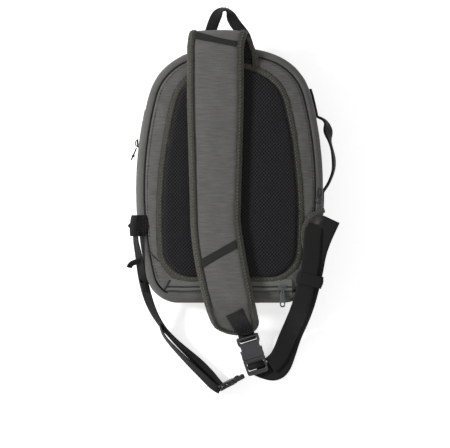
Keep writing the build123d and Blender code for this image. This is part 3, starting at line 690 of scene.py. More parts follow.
def side_keep(place):
    """Soft dents are strongest on the bag's side and front, and fade at the rim and the floor."""
    rim = min(1.0, max(0.0, (RIM_Z - 4 - place.z) / 14))
    floor = min(1.0, max(0.0, place.z / 10))
    return rim * floor


class SLINGBAG_OT_shell(bpy.types.Operator):
    """Grey outer shell, its piping and its lining"""
    bl_idname = "slingbag.shell"
    bl_label = "Bag shell"

    def execute(self, context):
        self.outer()
        self.piping()
        self.lining()
        return {"FINISHED"}

    def outer(self):
        base = bag_outline(FRONT_ROUNDING)
        rows = [at_height(shrink(base, share, (0, 0)), 0.2) for share in (0.02, 0.25, 0.5, 0.75, 0.92)]
        for step in range(9):
            angle = math.pi / 2 * step / 8
            inset = FRONT_ROUNDING * (1 - math.sin(angle))
            rows.append(at_height(bag_outline(inset), 0.2 + (FRONT_ROUNDING - 0.2) * (1 - math.cos(angle))))
        side_low, side_high = FRONT_HIGH.z + 2, RIM_Z - RIM_ROUNDING
        for step in range(7):
            rows.append(at_height(bag_outline(0), side_low + (side_high - side_low) * step / 6))
        for step in range(1, 8):
            angle = math.pi / 2 * step / 7
            rows.append(at_height(bag_outline(RIM_ROUNDING * (1 - math.cos(angle))),
                                  side_high + RIM_ROUNDING * math.sin(angle)))
        for inset, z in ((LIP_INSET - 0.6, RIM_Z - 0.1), (LIP_INSET, RIM_Z - 0.9),
                         (LIP_INSET - 0.3, RIM_Z - 2.2),
                         (LIP_INSET - 3, RIM_Z - 2.8)):
            rows.append(at_height(bag_outline(inset), z))
        shell = grid("bag_shell", rows, around=True)
        soften(shell, sizes().sag / MM, 34.0, 3, side_keep)
        for vertex in shell.data.vertices:
            vertex.co.z = max(vertex.co.z, 0.0001)
        fit(shell, "grey_fabric", "fabric_side", BAG_BODY, "front_panel", "gusset_band")

    def piping(self):
        points = at_height(bag_outline(-0.4), FRONT_HIGH.z)
        piping = tube("front_seam_piping", points, 1.3, closed=True)
        fit(piping, "olive_binding", "binding", BAG_BODY, "front_piping")

    def lining(self):
        floor_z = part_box("front_pocket_wall")[1].z / MM
        rows = [at_height(shrink(bag_outline(INNER_LINING_INSET), share, (0, 0)),
                          floor_z) for share in (0.02, 0.4, 0.75, 1.0)]
        for inset, z in ((12, floor_z + 1), (7.5, floor_z + 5), (6.2, floor_z + 14), (5.8, 40), (6.4, 52),
                         (8.5, 59), (LIP_INSET - 0.8, RIM_Z - 3.2)):
            rows.append(at_height(bag_outline(inset), z))
        lining = grid("bag_lining", rows, around=True, outward=False)
        soften(lining, 0.8, 22.0, 5, lambda place: 1.0 if place.z < 55 else 0.2)
        fit(lining, "lining", "lining", BAG_BODY, "lining_wall", "front_pocket_wall")
        low, high = limits("inner_sleeve")
        columns = 30
        rows = []
        for i in range(columns + 1):
            y = low.y + (high.y - low.y) * i / columns
            rows.append([(low.x + (high.x - low.x) * j / columns, y,
                          low.z + 0.8 + 2.6 * math.sin(math.pi * i / columns) ** 0.4
                          * math.sin(math.pi * j / columns) ** 0.4) for j in range(columns + 1)])
        sleeve = tidy(grid("laptop_sleeve", rows, flat=True), thickness=1.2, levels=1)
        fit(sleeve, "lining", "lining", BAG_BODY, "inner_sleeve")
        edge = tube("sleeve_edge_binding", [(low.x, high.y, high.z), (high.x, high.y, high.z)], 1.6)
        fit(edge, "olive_binding", "binding", BAG_BODY)


def zip_run(inset, z, low_y):
    """Line of the main zip from one bottom corner over the top to the other."""
    points = at_height(bag_outline(inset), z)
    half = len(points) // 2
    right = [point for point in points[:half] if point[1] > low_y]
    left = [point for point in points[half:] if point[1] > low_y]
    return list(reversed(right)) + list(reversed(left))


class SLINGBAG_OT_main_zip(bpy.types.Operator):
    """Coil zip round the back panel, with its tapes"""
    bl_idname = "slingbag.main_zip"
    bl_label = "Main zip"

    def execute(self, context):
        for side, body, node, inset in (("body", BAG_BODY, "main_zip_body_half", LIP_INSET + 0.35),
                                        ("lid", LID, "main_zip_lid_half", LID_INSET - 0.35)):
            line = zip_run(inset, RIM_Z - 0.7, ZIP_END_Y)
            coil = lozenges(f"main_zip_coil_{side}", along_path(line, 1.25, 0.0 if side == "lid" else 0.62),
                            2.0, 0.8,
                            0.7, turn=math.pi / 2)
            fit(coil, "zip", "zip", body)
            outer, inner = (LIP_INSET - 3, LIP_INSET + 0.8) if side == "body" else (LID_INSET - 0.8,
                                                                                    LID_INSET + 6)
            tape = grid(f"main_zip_tape_{side}", [zip_run(outer, RIM_Z - 2.4, ZIP_END_Y), zip_run(inner,
                                                                                                  RIM_Z - 1.5, ZIP_END_Y)])
            tidy(tape, thickness=0.5)
            fit(tape, "zip", "narrow_webbing", body, node)
        return {"FINISHED"}


# --- back panel ------------------------------

def panel_z(share):
    """Height of the back panel's fabric from its edge, 0, to the binding, 1."""
    return RIM_Z + 0.2 + 3.4 * math.sin(share * math.pi / 2) ** 0.8


def panel_row(share):
    outer, inner = bag_outline(LID_INSET), pad_outline(-6)
    return [(a[0] + (b[0] - a[0]) * share, a[1] + (b[1] - a[1]) * share, panel_z(share))
            for a, b in zip(outer, inner)]


class SLINGBAG_OT_back_panel(bpy.types.Operator):
    """Grey back panel with its mesh pad, binding ring, seams and lower pocket"""
    bl_idname = "slingbag.back_panel"
    bl_label = "Back panel"

    def execute(self, context):
        self.fabric()
        self.pad()
        self.binding()
        self.pocket()
        self.hinge()
        self.inside()
        return {"FINISHED"}

    def fabric(self):
        rows = [at_height(bag_outline(LID_INSET + 3), RIM_Z - 2.6),
                at_height(bag_outline(LID_INSET + 0.4), RIM_Z - 2.2),
                at_height(bag_outline(LID_INSET), RIM_Z - 1.0)]
        rows += [panel_row(step / 14) for step in range(15)]
        rows += [at_height(pad_outline(inset), RIM_Z + 3.4) for inset in (4, 14, 24)]
        panel = grid("back_panel_fabric", rows, around=True, flat=True)
        soften(panel, 0.9, 16.0, 11, lambda place: 1.0 if place.z > RIM_Z + 1 else 0.0)
        fit(panel, "grey_fabric", "fabric", LID, "back_fabric", "back_foam")
        seam = [(x, y, z + 0.35) for x, y, z in panel_row(0.14)]
        stitches("panel_edge_stitches", seam, LID, closed=True, finish="dark_thread")
        dart = [Vector((-117, -106, 0)), Vector((-109, -113, 0)), Vector((-100.5, -121, 0))]
        for point in dart:
            point.z = RIM_Z + 3.6
        crease = tube("lower_dart_seam", dart, 0.55, 6)
        fit(crease, "olive_binding", "dark_thread", LID)

    def pad(self):
        centre = (0, (PAD_LOW.y + PAD_HIGH.y) / 2)
        rows = [at_height(pad_outline(-0.5), RIM_Z + 2)]
        for step in range(1, 8):
            angle = math.pi / 2 * step / 7
            rows.append(at_height(pad_outline(7 * (1 - math.cos(angle))),
                                  PAD_TOP_Z - 6.4 + 5.4 * math.sin(angle)))
        base = pad_outline(7)
        for share in (0.93, 0.82, 0.68, 0.5, 0.3, 0.12, 0.01):
            rows.append(at_height(shrink(base, share, centre), PAD_TOP_Z - 1.0 + 0.9 * (1 - share**2)))
        pad = grid("back_mesh_pad", rows, around=True, flat=True)
        soften(pad, 0.5, 20.0, 17, lambda place: 1.0 if place.z < PAD_TOP_Z - 0.3 else 0.3)
        fit(pad, "mesh", "mesh", LID, "back_mesh")

    def binding(self):
        width = sizes().binding_width / MM
        profile = [(-width, 0.2), (-width - 0.1, 2.6), (-width * 0.8, 4.4), (-width * 0.5, 5.4),
                   (-width * 0.2, 5.6),
                   (0.4, 4.9), (1.1, 3.4)]
        rows = [at_height(pad_outline(inset), RIM_Z + z) for inset, z in profile]
        ring = grid("back_pad_binding", rows, around=True)
        soften(ring, 0.35, 7.0, 23)
        fit(ring, "olive_binding", "binding", LID, "back_binding")
        lip = tube("back_pad_inner_edge", at_height(pad_outline(0.9), RIM_Z + 5.2), 0.75, closed=True)
        fit(lip, "olive_binding", "seam_edge", LID)
        for name, inset, z, turn in (("outer", -width * 0.82, 4.55, 0.5),
                                     ("inner", -width * 0.3, 5.7, -0.5)):
            stitches(f"back_binding_stitches_{name}", at_height(pad_outline(inset), RIM_Z + z), LID,
                     closed=True,
                     finish="thread" if name == "inner" else "dark_thread", turn=turn)

    def pocket(self):
        low, high = limits("pocket_flap_lower")
        upper_low, upper_high = limits("pocket_flap_upper")
        left, right = low.x - 4, high.x
        for node, bottom, top, slant in (("pocket_flap_upper", upper_low.y, upper_high.y + 6, 6),
                                         ("pocket_flap_lower", low.y, high.y, 0)):
            rows = []
            for i in range(7):
                share = i / 6
                y = bottom + (top - bottom) * share
                start = left + slant * share
                bulge = math.sin(math.pi * min(1, share * 1.1)) ** 0.6 if share < 0.91 else 0.3
                rows.append([(start + (right - start) * j / 60, y + 0.25 * math.sin(j * 0.5),
                              upper_low.z + 3.6 + 0.9 * bulge) for j in range(61)])
            flap = tidy(grid(node + "_cloth", rows, flat=True), thickness=0.8, levels=1)
            fit(flap, "flap_fabric", "flap", LID, node)
        z = high.z + 2.6
        coil_line = [(left + 4, (high.y + upper_low.y) / 2, z), (right, (high.y + upper_low.y) / 2, z)]
        coil = lozenges("pocket_zip_coil", along_path(coil_line, 1.1), 1.5, 0.7, 0.5, turn=math.pi / 2)
        fit(coil, "zip", "zip", LID, "pocket_zip")
        stitches("pocket_lower_stitches", [(left - 2, low.y - 1.4, RIM_Z + 2.2), (right + 2, low.y - 1.4,
                                                                                  RIM_Z + 2.2)], LID,
                 finish="dark_thread")
        garage = tidy(grid("pocket_zip_garage", [
            [(left - 2, low.y + 1, z - 0.2), (left + 6, upper_high.y + 5, z - 0.2)],
            [(left + 0.5, low.y + 0.5, z + 0.6),
             (left + 8.5, upper_high.y + 4.5, z + 0.6)]], flat=True), thickness=0.8)
        fit(garage, "olive_binding", "dark_thread", LID)

    def hinge(self):
        """Fabric that runs on from the lid to the shell along the bottom edge, where the lid turns."""
        rows = []
        for inset, rise in ((LID_INSET - 5.5, 0.15), (LID_INSET - 3.2, 0.45), (LID_INSET - 1.6, 0.55),
                            (LID_INSET - 0.4, 0.5), (LID_INSET + 1.2, 0.9), (LID_INSET + 3.5, 1.9),
                            (LID_INSET + 5.5, 2.3), (LID_INSET + 8.0, 2.2)):
            reach = 88.0
            floor_y = BOTTOM_Y + inset
            rows.append([(reach * (2 * j / 60 - 1),
                          floor_y + 1.6 * max(0.0, abs(2 * j / 60 - 1) - 0.86) * 20,
                          RIM_Z + rise) for j in range(61)])
        fold = grid("bottom_hinge_fabric", rows, flat=True)
        paint(fold, "grey_fabric", finish_of("fabric"))
        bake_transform(fold)

    def inside(self):
        node_low, node_high = limits("back_lining")
        centre = (0, (node_low.y + node_high.y) / 2)
        rows = [at_height(bag_outline(LID_INSET + 3), RIM_Z - 2.7),
                at_height(bag_outline(LID_INSET + 9), RIM_Z - 4)]
        base = bag_outline(INNER_LINING_INSET)
        rows += [at_height(shrink(base, share, centre), node_low.z) for share in (1.0, 0.7, 0.35, 0.002)]
        inside = grid("back_panel_lining", rows, around=True, flat=True)
        soften(inside, 0.5, 25.0, 29)
        fit(inside, "lining", "lining", LID, "back_lining", "back_stiffener")


# --- shoulder strap ------------------------------

STRAP_X = (YOKE_LOW.x + YOKE_HIGH.x) / 2
FOLD_Y = YOKE_HIGH.y
STRAP_THICKNESS = 9.5
STRAP_UNDER = PAD_TOP_Z + 0.6
STRAP_MID_Z = STRAP_UNDER + STRAP_THICKNESS / 2
YOKE_MID_Z = (YOKE_LOW.z + YOKE_HIGH.z) / 2
FOLD_Z = (STRAP_MID_Z + YOKE_MID_Z) / 2
FOLD_RADIUS = STRAP_MID_Z - FOLD_Z
DROP_Y = BOTTOM_Y - 4


def curve_points(points, resolution=24):
    """Points, in millimetres, along a smooth spline with the given control points."""
    curve = bpy.data.curves.new("line", "CURVE")
    curve.dimensions = "3D"
    curve.resolution_u = resolution
    spline = curve.splines.new("NURBS")
    spline.points.add(len(points) - 1)
    for knot, point in zip(spline.points, points):
        knot.co = (*[part * MM for part in point], 1)
    spline.order_u = 3
    spline.use_endpoint_u = True
    line = link(bpy.data.objects.new("line", curve))
    mesh = evaluated_mesh(line)
    found = [vertex.co / MM for vertex in mesh.vertices]
    bpy.data.objects.remove(line)
    bpy.data.curves.remove(curve)
    bpy.data.meshes.remove(mesh)
    return found


def strap_line():
    """Side view of the strap's middle: seam, crest, along the pad, over the bottom edge and down."""
    points = [(0, 164.5, YOKE_MID_Z), (0, 180, YOKE_MID_Z), (0, FOLD_Y - 1, YOKE_MID_Z)]
    fold = [(0, FOLD_Y + FOLD_RADIUS * math.cos(t), FOLD_Z + FOLD_RADIUS * math.sin(t))
            for t in (math.radians(a) for a in (-60, -20, 20, 60))]
    drop = curve_points([(0, FOLD_Y - 1, STRAP_MID_Z), (0, 100, STRAP_MID_Z), (0, 0, STRAP_MID_Z),
                         (0, -100, STRAP_MID_Z), (0, -160, STRAP_MID_Z), (0, DROP_Y - 1, STRAP_MID_Z - 1),
                         (0, DROP_Y - 16, 45), (0, DROP_Y - 33, 17), (0, DROP_Y - 48, 12), (0, DROP_Y - 62,
                                                                                            7)], 14)
    return [Vector(point) for point in points + fold] + drop


def strap_edges(y):
    """Left and right edge of the strap at a place along the bag."""
    bend = min(1.0, max(0.0, (-60 - y) / 150))
    slant = min(1.0, max(0.0, (100 - y) / 160))
    left = STRAP_X - 40 + 4.5 * slant + 29.0 * bend**1.7
    right = STRAP_X + 40 - 4.5 * slant + 27.0 * bend**1.25
    return left, right


class StrapShape:
    """Maps a place across the strap, 0 to 1, and along it, to space, with the round lower end."""

    def __init__(self):
        line = strap_line()
        self.stations = []
        travelled = 0.0
        for i, place in enumerate(line):
            if i:
                travelled += (place - line[i - 1]).length
            ahead = (line[min(i + 1, len(line) - 1)] - line[max(i - 1, 0)]).normalized()
            self.stations.append((travelled, place, Vector((0, ahead.z, -ahead.y))))
        self.total = travelled
        self.end = self.reach_of(-228.5)

    def reach_of(self, y):
        """Distance along the strap at which it comes down to a place along the bag."""
        crest = max(range(len(self.stations)), key=lambda i: self.stations[i][1].y)
        past = self.stations[crest:]
        for (s0, a, _), (s1, b, _) in zip(past, past[1:]):
            if a.y >= y > b.y:
                return s0 + (s1 - s0) * (a.y - y) / (a.y - b.y)
        return past[0][0] if y > past[0][1].y else self.total

    def at(self, reach):
        for (s0, a, na), (s1, b, nb) in zip(self.stations, self.stations[1:]):
            if reach <= s1:
                share = (reach - s0) / (s1 - s0)
                return a.lerp(b, share), na.lerp(nb, share).normalized()
        return self.stations[-1][1], self.stations[-1][2]

    def edges(self, reach, inset):
        """X of both edges, drawn in by inset, with a rounded lower end."""
        place, _ = self.at(min(reach, self.end))
        left, right = strap_edges(place.y if reach > 60 else 150)
        middle, half = (left + right) / 2, (right - left) / 2
        cap = 34.0
        start = self.end - cap
        if reach > start:
            share = min(1.0, (reach - start) / (cap - inset))
            half_end = (half - inset) * (1 - share**2.6) ** (1 / 2.6)
            middle += 5.0 * share**2
            return middle - half_end, middle + half_end
        lean = 21.0 * (1 - min(1.0, max(0.0, reach) / 62)) ** 1.3
        return left + inset + lean * 0.55, right - inset + lean

    def point(self, x, reach, height):
        place, normal = self.at(reach)
        return Vector((x, place.y, place.z)) + normal * (height - STRAP_THICKNESS / 2)


def strap_blend(piece):
    """Bakes the piece's placement into its mesh."""
    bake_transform(piece)


class SLINGBAG_OT_strap(bpy.types.Operator):
    """Padded shoulder strap with its bound edges, slanted tapes and end webbing"""
    bl_idname = "slingbag.strap"
    bl_label = "Shoulder strap"

    def execute(self, context):
        self.shape = StrapShape()
        self.binding_width = sizes().binding_width / MM
        self.face()
        self.bindings()
        self.tapes()
        self.end_webbing()
        self.root()
        return {"FINISHED"}

    def rows(self, inset, heights, reach_end, columns=20, step=3.5):
        """Rows of points across the strap at a given inset, with a height for each place across."""
        found = []
        count = int(reach_end / step)
        for i in range(count + 1):
            reach = reach_end * i / count
            left, right = self.shape.edges(reach, inset)
            found.append([self.shape.point(left + (right - left) * j / columns, reach,
                                           heights(j / columns, reach))
                          for j in range(columns + 1)])
        return found

    def face(self):
        crown = sizes().pad_crown / MM
        inset = self.binding_width - 1.5

        def top(share, reach):
            return STRAP_THICKNESS - 1.2 + crown * math.sin(math.pi * share) ** 0.45

        def under(share, reach):
            return 0.4 + 1.2 * (1 - math.sin(math.pi * share) ** 0.5)

        end = self.shape.end - self.binding_width + 1.5
        face = grid("strap_face_pad", self.rows(inset, top, end), outward=False)
        soften(face, 0.5, 18.0, 31)
        paint(face, "grey_fabric", finish_of("strap_fabric"))
        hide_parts("strap_face", "strap_foam", "strap_yoke")
        strap_blend(face)
        back = grid("strap_underside_mesh", self.rows(3.0, under, self.shape.end - 3))
        paint(back, "mesh", finish_of("mesh"))
        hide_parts("strap_backing")
        strap_blend(back)

    def perimeter(self, inset):
        """Places round the strap's edge, down the left side, round the end and up the right."""
        end = self.shape.end - inset
        reaches = [end * i / 150 for i in range(141)]
        reaches += [end - (end * 10 / 150) * (1 - k / 24) ** 2.2 for k in range(1, 25)]
        left = [(self.shape.edges(reach, inset)[0], reach) for reach in reaches]
        right = [(self.shape.edges(reach, inset)[1], reach) for reach in reversed(reaches[:-1])]
        return left + right

    def edge_row(self, inset, height):
        return [self.shape.point(x, reach, height) for x, reach in self.perimeter(inset)]

    def bindings(self):
        width = self.binding_width
        profile = [(width, STRAP_THICKNESS - 1.2), (width - 0.5, STRAP_THICKNESS + 0.5),
                   (width - 3, STRAP_THICKNESS + 1.1), (width * 0.45, STRAP_THICKNESS + 0.8),
                   (1.6, STRAP_THICKNESS - 0.8), (0.2, STRAP_THICKNESS - 3.5), (0.2, 2.5), (1.8,
                                                                                            0.3), (width * 0.7, -0.1)]
        rows = [self.edge_row(inset, height) for inset, height in profile]
        binding = grid("strap_edge_bindings", rows, outward=False)
        soften(binding, 0.35, 6.0, 37)
        paint(binding, "olive_binding", finish_of("binding"))
        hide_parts("strap_edge_binding")
        strap_blend(binding)
        for name, inset, height, finish, turn in (("inner", width - 1.5, 1.05, "dark_thread", 0.45),
                                                  ("middle", width * 0.5, 1.1, "thread", -0.45)):
            line = self.edge_row(inset, STRAP_THICKNESS + height)
            size = sizes()
            row = lozenges(f"strap_stitches_{name}", along_path(line, (size.stitch + size.stitch_gap) / MM),
                           size.stitch / MM, 0.85, 0.4, turn=turn)
            paint(row, "olive_binding", finish_of(finish))
            strap_blend(row)

    def band(self, name, corners, height, thickness, finish, columns=24):
        """Flat band laid over the strap between two slanted ends: corners in X and Y, in order."""
        a, b, c, d = (Vector((x, y, 0)) for x, y in corners)
        rows = []
        for i in range(9):
            start, end = a.lerp(d, i / 8), b.lerp(c, i / 8)
            row = []
            for j in range(columns + 1):
                place = start.lerp(end, j / columns)
                reach = self.shape.reach_of(place.y)
                left, right = self.shape.edges(min(reach, self.shape.end - 12), 0)
                share = (place.x - left) / (right - left)
                crown = sizes().pad_crown / MM * max(0.0, math.sin(math.pi * min(1, max(0, share)))) ** 0.45
                row.append(self.shape.point(place.x, reach, STRAP_THICKNESS - 1.0 + crown + height))
            rows.append(row)
        piece = tidy(grid(name, rows), thickness=thickness, rounding=0.2)
        return paint(piece, "black_webbing", finish_of(finish))

    def tapes(self):
        x = STRAP_X
        for name, node, corners in (
                ("strap_tape_top", "strap_tape_upper", [(x - 29.5, 190), (x + 29, 179), (x + 30, 187),
                                                        (x - 29, 197)]),
                ("strap_tape_bottom", "strap_tape_lower", [(x - 20.5, -131), (x + 30, -102), (x + 28.5,
                                                                                              -90.5), (x - 22, -119)])):
            tape = self.band(name, corners, 0.55, 0.7, "tape")
            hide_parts(node)
            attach(tape, STRAP)

    def root(self):
        """The strap's lower layer, which shows to the right of its crest."""
        under = curve_points([(27, 150, RIM_Z + 3), (26, 168, RIM_Z + 4), (23, 184, RIM_Z + 8),
                              (18, 194, RIM_Z + 13)], 8)
        dark = ribbon("strap_root_underside", under, 20, 2.0, lambda share: -12 * share)
        strap_blend(paint(dark, "mesh", finish_of("mesh")))
        for k, shift in enumerate((0.0, 6.5)):
            side = curve_points([(34.5 + shift * 0.6, 150 + shift * 0.5, RIM_Z + 4.6),
                                 (34 + shift * 0.4, 166, RIM_Z + 5.5),
                                 (30.5, 182 + shift * 0.3, RIM_Z + 9 - shift * 0.3), (24, 195,
                                                                                      RIM_Z + 14)], 8)
            band = ribbon(f"strap_root_binding_{k}", side, 5.5, 2.0, lambda share: -25.0 + 20 * share, 0.5)
            strap_blend(paint(band, "olive_binding", finish_of("binding")))

    def box_stitch(self, corners):
        """Stitched box and cross on the end webbing."""
        a, b, c, d = (Vector((x, y, 0)) for x, y in corners)
        middle = (a + b + c + d) / 4
        a, b, c, d = (point.lerp(middle, 0.22) for point in (a, b, c, d))
        for k, (start, end) in enumerate(((a, b), (b, c), (c, d), (d, a), (a, c), (b, d))):
            line = []
            for i in range(9):
                place = start.lerp(end, i / 8)
                line.append(self.shape.point(place.x, self.shape.reach_of(place.y), STRAP_THICKNESS + 4.0))
            stitches(f"end_webbing_stitches_{k}", line, STRAP, finish="black_thread", width=0.6)

    def end_webbing(self):
        corners = [(-5, -193), (18, -183), (35, -220), (12.5, -227.5)]
        webbing = self.band("strap_end_webbing_patch", corners, 1.0, 1.6,
                            "webbing", 14)
        self.box_stitch(corners)
        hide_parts("strap_end_webbing")
        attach(webbing, STRAP)


# --- webbing ------------------------------

WIDE_ROUTE = [(116, -84, 74), (115, -108, 74), (112, -134, 74), (106, -160, 74), (99, -186, 69),
              (91, -209, 45), (82, -232, 20), (75, -252, 11), (67, -266, 9), (58, -272.5, 8.5)]
WIDE_TAIL_ROUTE = [(67, -283, 4.3), (76, -275, 4.5), (83, -255, 6.6), (90.2, -230.3, 15.6),
                   (99.2, -207.6, 40.6),
                   (106.4, -186, 64), (112.8, -162, 70.5), (119, -135, 70.8), (123, -111, 70.9), (129, -93,
                                                                                                  71.1),
                   (136, -77, 71.6), (143, -62, 72.8)]
NARROW_ROUTE = [(-134, -88, 67), (-129, -112, 62), (-125, -138, 54), (-120, -164, 42), (-112, -190, 30),
                (-99, -214, 19), (-82, -234, 12), (-62, -253, 10), (-43, -270, 10), (-27, -287, 11),
                (-19, -297, 12)]
NARROW_TAIL_ROUTE = [(-98, -225, 16), (-86, -241, 12), (-70, -258, 10), (-53, -275, 10), (-37, -290, 11),
                     (-23, -304, 12)]
WIDE = 25.0
NARROW = 15.0
WEBBING_THICKNESS = 2.0


def frames(line, roll):
    """Place, heading, width direction and normal along a line; roll turns the width out of the level."""
    found = []
    total = sum((b - a).length for a, b in zip(line, line[1:])) or 1.0
    passed = 0.0
    for i, place in enumerate(line):
        if i:
            passed += (place - line[i - 1]).length
        ahead = (line[min(i + 1, len(line) - 1)] - line[max(i - 1, 0)]).normalized()
        level = ahead.cross(Vector((0, 0, 1))).normalized()
        lift = level.cross(ahead)
        turn = math.radians(roll(passed / total))
        across = level * math.cos(turn) + lift * math.sin(turn)
        found.append((place, ahead, across, across.cross(ahead)))
    return found


def ribbon(name, line, width, thickness=WEBBING_THICKNESS, roll=lambda share: 0.0, crown=0.0):
    """Closed band with rounded edges along a line of points."""
    stations = frames([Vector(point) for point in line], roll)
    half, thick = width / 2, thickness / 2
    steps = 10
    top = [half * (2 * k / steps - 1) for k in range(steps + 1)]
    profile = [(y * 0.975, thick * (1 if abs(y) < half * 0.98 else 0.75)) for y in top]
    profile += [(half, 0.0)] + [(y, -z) for y, z in reversed(profile)] + [(-half, 0.0)]
    rows = []
    for y, z in profile:
        arch = crown * (1 - (y / half) ** 2)
        row = [place + across * y + normal * (z + arch) for place, _, across, normal in stations]
        first, last = stations[0], stations[-1]
        row.insert(0, first[0] - first[1] * 0.2 + first[2] * y * 0.96 + first[3] * (z * 0.1 + arch))
        row.append(last[0] + last[1] * 0.2 + last[2] * y * 0.96 + last[3] * (z * 0.1 + arch))
        rows.append(row)
    return grid(name, rows, ring=True)


def seam(name, line, offsets, thread_finish, body, roll=lambda share: 0.0, height=1.15, span=(0.0, 1.0)):
    """Rows of stitches on a band, at offsets across it."""
    stations = frames([Vector(point) for point in line], roll)
    low, high = int(len(stations) * span[0]), max(int(len(stations) * span[1]), 2)
    for k, offset in enumerate(offsets):
        points = [place + across * offset + normal * height for place, _, across,
                  normal in stations[low:high]]
        stitches(f"{name}_{k}", points, body, finish=thread_finish, width=0.5)


def webbing_blend(piece):
    """Bakes the piece's placement into its mesh and returns it."""
    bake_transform(piece)
    return piece


class SLINGBAG_OT_webbing(bpy.types.Operator):
    """Wide and narrow webbing with their second layers, keepers, anchor tab and wing"""
    bl_idname = "slingbag.webbing"
    bl_label = "Webbing"

    def execute(self, context):
        self.wide()
        self.narrow()
        self.wing()
        self.anchor()
        return {"FINISHED"}

    def wide(self):
        line = curve_points([(119, -69, 71.4), (118, -76, 73.2)] + WIDE_ROUTE, 12)
        roll = lambda share: 4 * math.sin(share * 9)
        band = paint(ribbon("wide_webbing_band", line, WIDE, roll=roll), "black_webbing",
                     finish_of("webbing"))
        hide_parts("wide_webbing")
        webbing_blend(band)
        line = curve_points([(40, -276, 1.9), (53, -282, 2.1)] + WIDE_TAIL_ROUTE, 12)
        roll = lambda share: -3 + 4 * math.sin(share * 8)
        tail = paint(ribbon("wide_webbing_tail_band", line, WIDE, roll=roll), "black_webbing",
                     finish_of("webbing"))
        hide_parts("wide_webbing_tail")
        webbing_blend(tail)
        hem_at = Vector((136.4, -76.4, 72.9))
        ahead = (Vector((143, -62, 0)) - Vector((136, -77, 0))).normalized()
        level = ahead.cross(Vector((0, 0, 1)))
        hem = tube("wide_tail_hem", [hem_at - level * 12.2, hem_at, hem_at + level * 12.2], 0.5, 6)
        webbing_blend(paint(hem, "black_webbing", finish_of("tape")))
        self.sleeve("wide_webbing_sleeve", "wide_webbing_keeper", (112.3, -147.6, 72.4), -103, 0, 17,
                    (35, 7.2), "wide")

    def narrow(self):
        line = curve_points([(-132, -78, 68.5)] + NARROW_ROUTE + [(-13, -303, 13)], 12)
        roll = lambda share: -(62 - 34 * math.sin(share * 5.2) ** 2)
        band = paint(ribbon("narrow_webbing_band", line, NARROW, 1.7, roll), "black_webbing",
                     finish_of("narrow_webbing"))
        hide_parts("narrow_webbing")
        webbing_blend(band)
        line = curve_points([(-100.5, -213, 18.5)] + NARROW_TAIL_ROUTE + [(-14, -308, 12.5)], 12)
        roll = lambda share: -(80 - 42 * share)
        tail = paint(ribbon("narrow_webbing_tail_band", line, NARROW, 1.7, roll), "black_webbing",
                     finish_of("narrow_webbing"))
        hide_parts("narrow_webbing_tail")
        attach(tail, STRAP)
        self.sleeve("narrow_webbing_sleeve", "narrow_webbing_keeper", (-122, -154, 46.5), -79, 25, 14,
                    (8, 19),
                    "narrow")

    def sleeve(self, name, node, centre, heading, slope, length, size, side):
        """Soft sewn sleeve round the webbing."""
        turn, tip = math.radians(heading), math.radians(slope)
        ahead = Vector((math.cos(turn) * math.cos(tip), math.sin(turn) * math.cos(tip), -math.sin(tip)))
        across = ahead.cross(Vector((0, 0, 1))).normalized()
        up = across.cross(ahead)
        rows = []
        for i in range(13):
            share = i / 12 * 2 - 1
            grow = 1 + 0.04 * math.cos(share * 3)
            row = []
            for k in range(32):
                angle = 2 * math.pi * k / 32
                c, t = math.cos(angle), math.sin(angle)
                x = size[0] / 2 * grow * math.copysign(abs(c) ** 0.35, c)
                z = size[1] / 2 * grow * math.copysign(abs(t) ** 0.5, t)
                row.append(Vector(centre) + ahead * (share * length / 2) + across * x + up * z)
            rows.append(row)
        sleeve = tidy(grid(name, rows, around=True), thickness=1.2, offset=-1)
        paint(sleeve, "black_webbing", finish_of("narrow_webbing"))
        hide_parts(node)
        webbing_blend(sleeve)

    def wing(self):
        seam_x, tip_x = WING_LOW.x, WING_HIGH.x
        inner = [(seam_x, -65), (seam_x, -75), (seam_x, -85), (seam_x, -95), (seam_x, -104)]
        outer = [(tip_x, -49), (tip_x - 0.5, -66), (tip_x - 2, -84), (tip_x - 6, -105), (tip_x - 12, -126)]
        rows = []
        for k, (a, b) in enumerate(zip(inner, outer)):
            lift = 3.5 if k == 0 else 0.0
            rows.append([(a[0] + (b[0] - a[0]) * j / 12,
                          a[1] + (b[1] - a[1]) * j / 12 + lift * math.sin(math.pi * j / 12),
                          WING_LOW.z + 1.3 - 2.5 * (j / 12) ** 4 + 0.3 * math.sin(j)) for j in range(13)])
        wing = tidy(grid("webbing_wing", rows, flat=True), thickness=1.2, levels=1)
        fit(wing, "grey_fabric", "fabric", LID, "right_wing")
        arc = [(tip_x + 1, -49), (tip_x - 8, -52), (tip_x - 18, -57.5), (seam_x + 3, -64),
               (seam_x - 1.5, -73),
               (seam_x - 3.0, -86), (seam_x - 1.5, -99), (seam_x + 1, -106)]
        edge = curve_points([(x, y, WING_LOW.z + 6.2 - 0.014 * max(0.0, x - seam_x) ** 1.5) for x,
                             y in arc], 8)
        bound = ribbon("wing_binding", edge, 7.0, 2.2, lambda share: 10.0, crown=0.8)
        fit(bound, "olive_binding", "binding", LID, "right_wing_binding")
        seam("wing_stitches", [point + Vector((0, 0, 0.6)) for point in edge], (0.0,), "thread", LID)
        inner_seam = [Vector((seam_x + 1.5, -66 - 3.8 * j, WING_LOW.z + 2.1)) for j in range(11)]
        stitches("wing_seam_stitches", inner_seam, LID, finish="dark_thread")

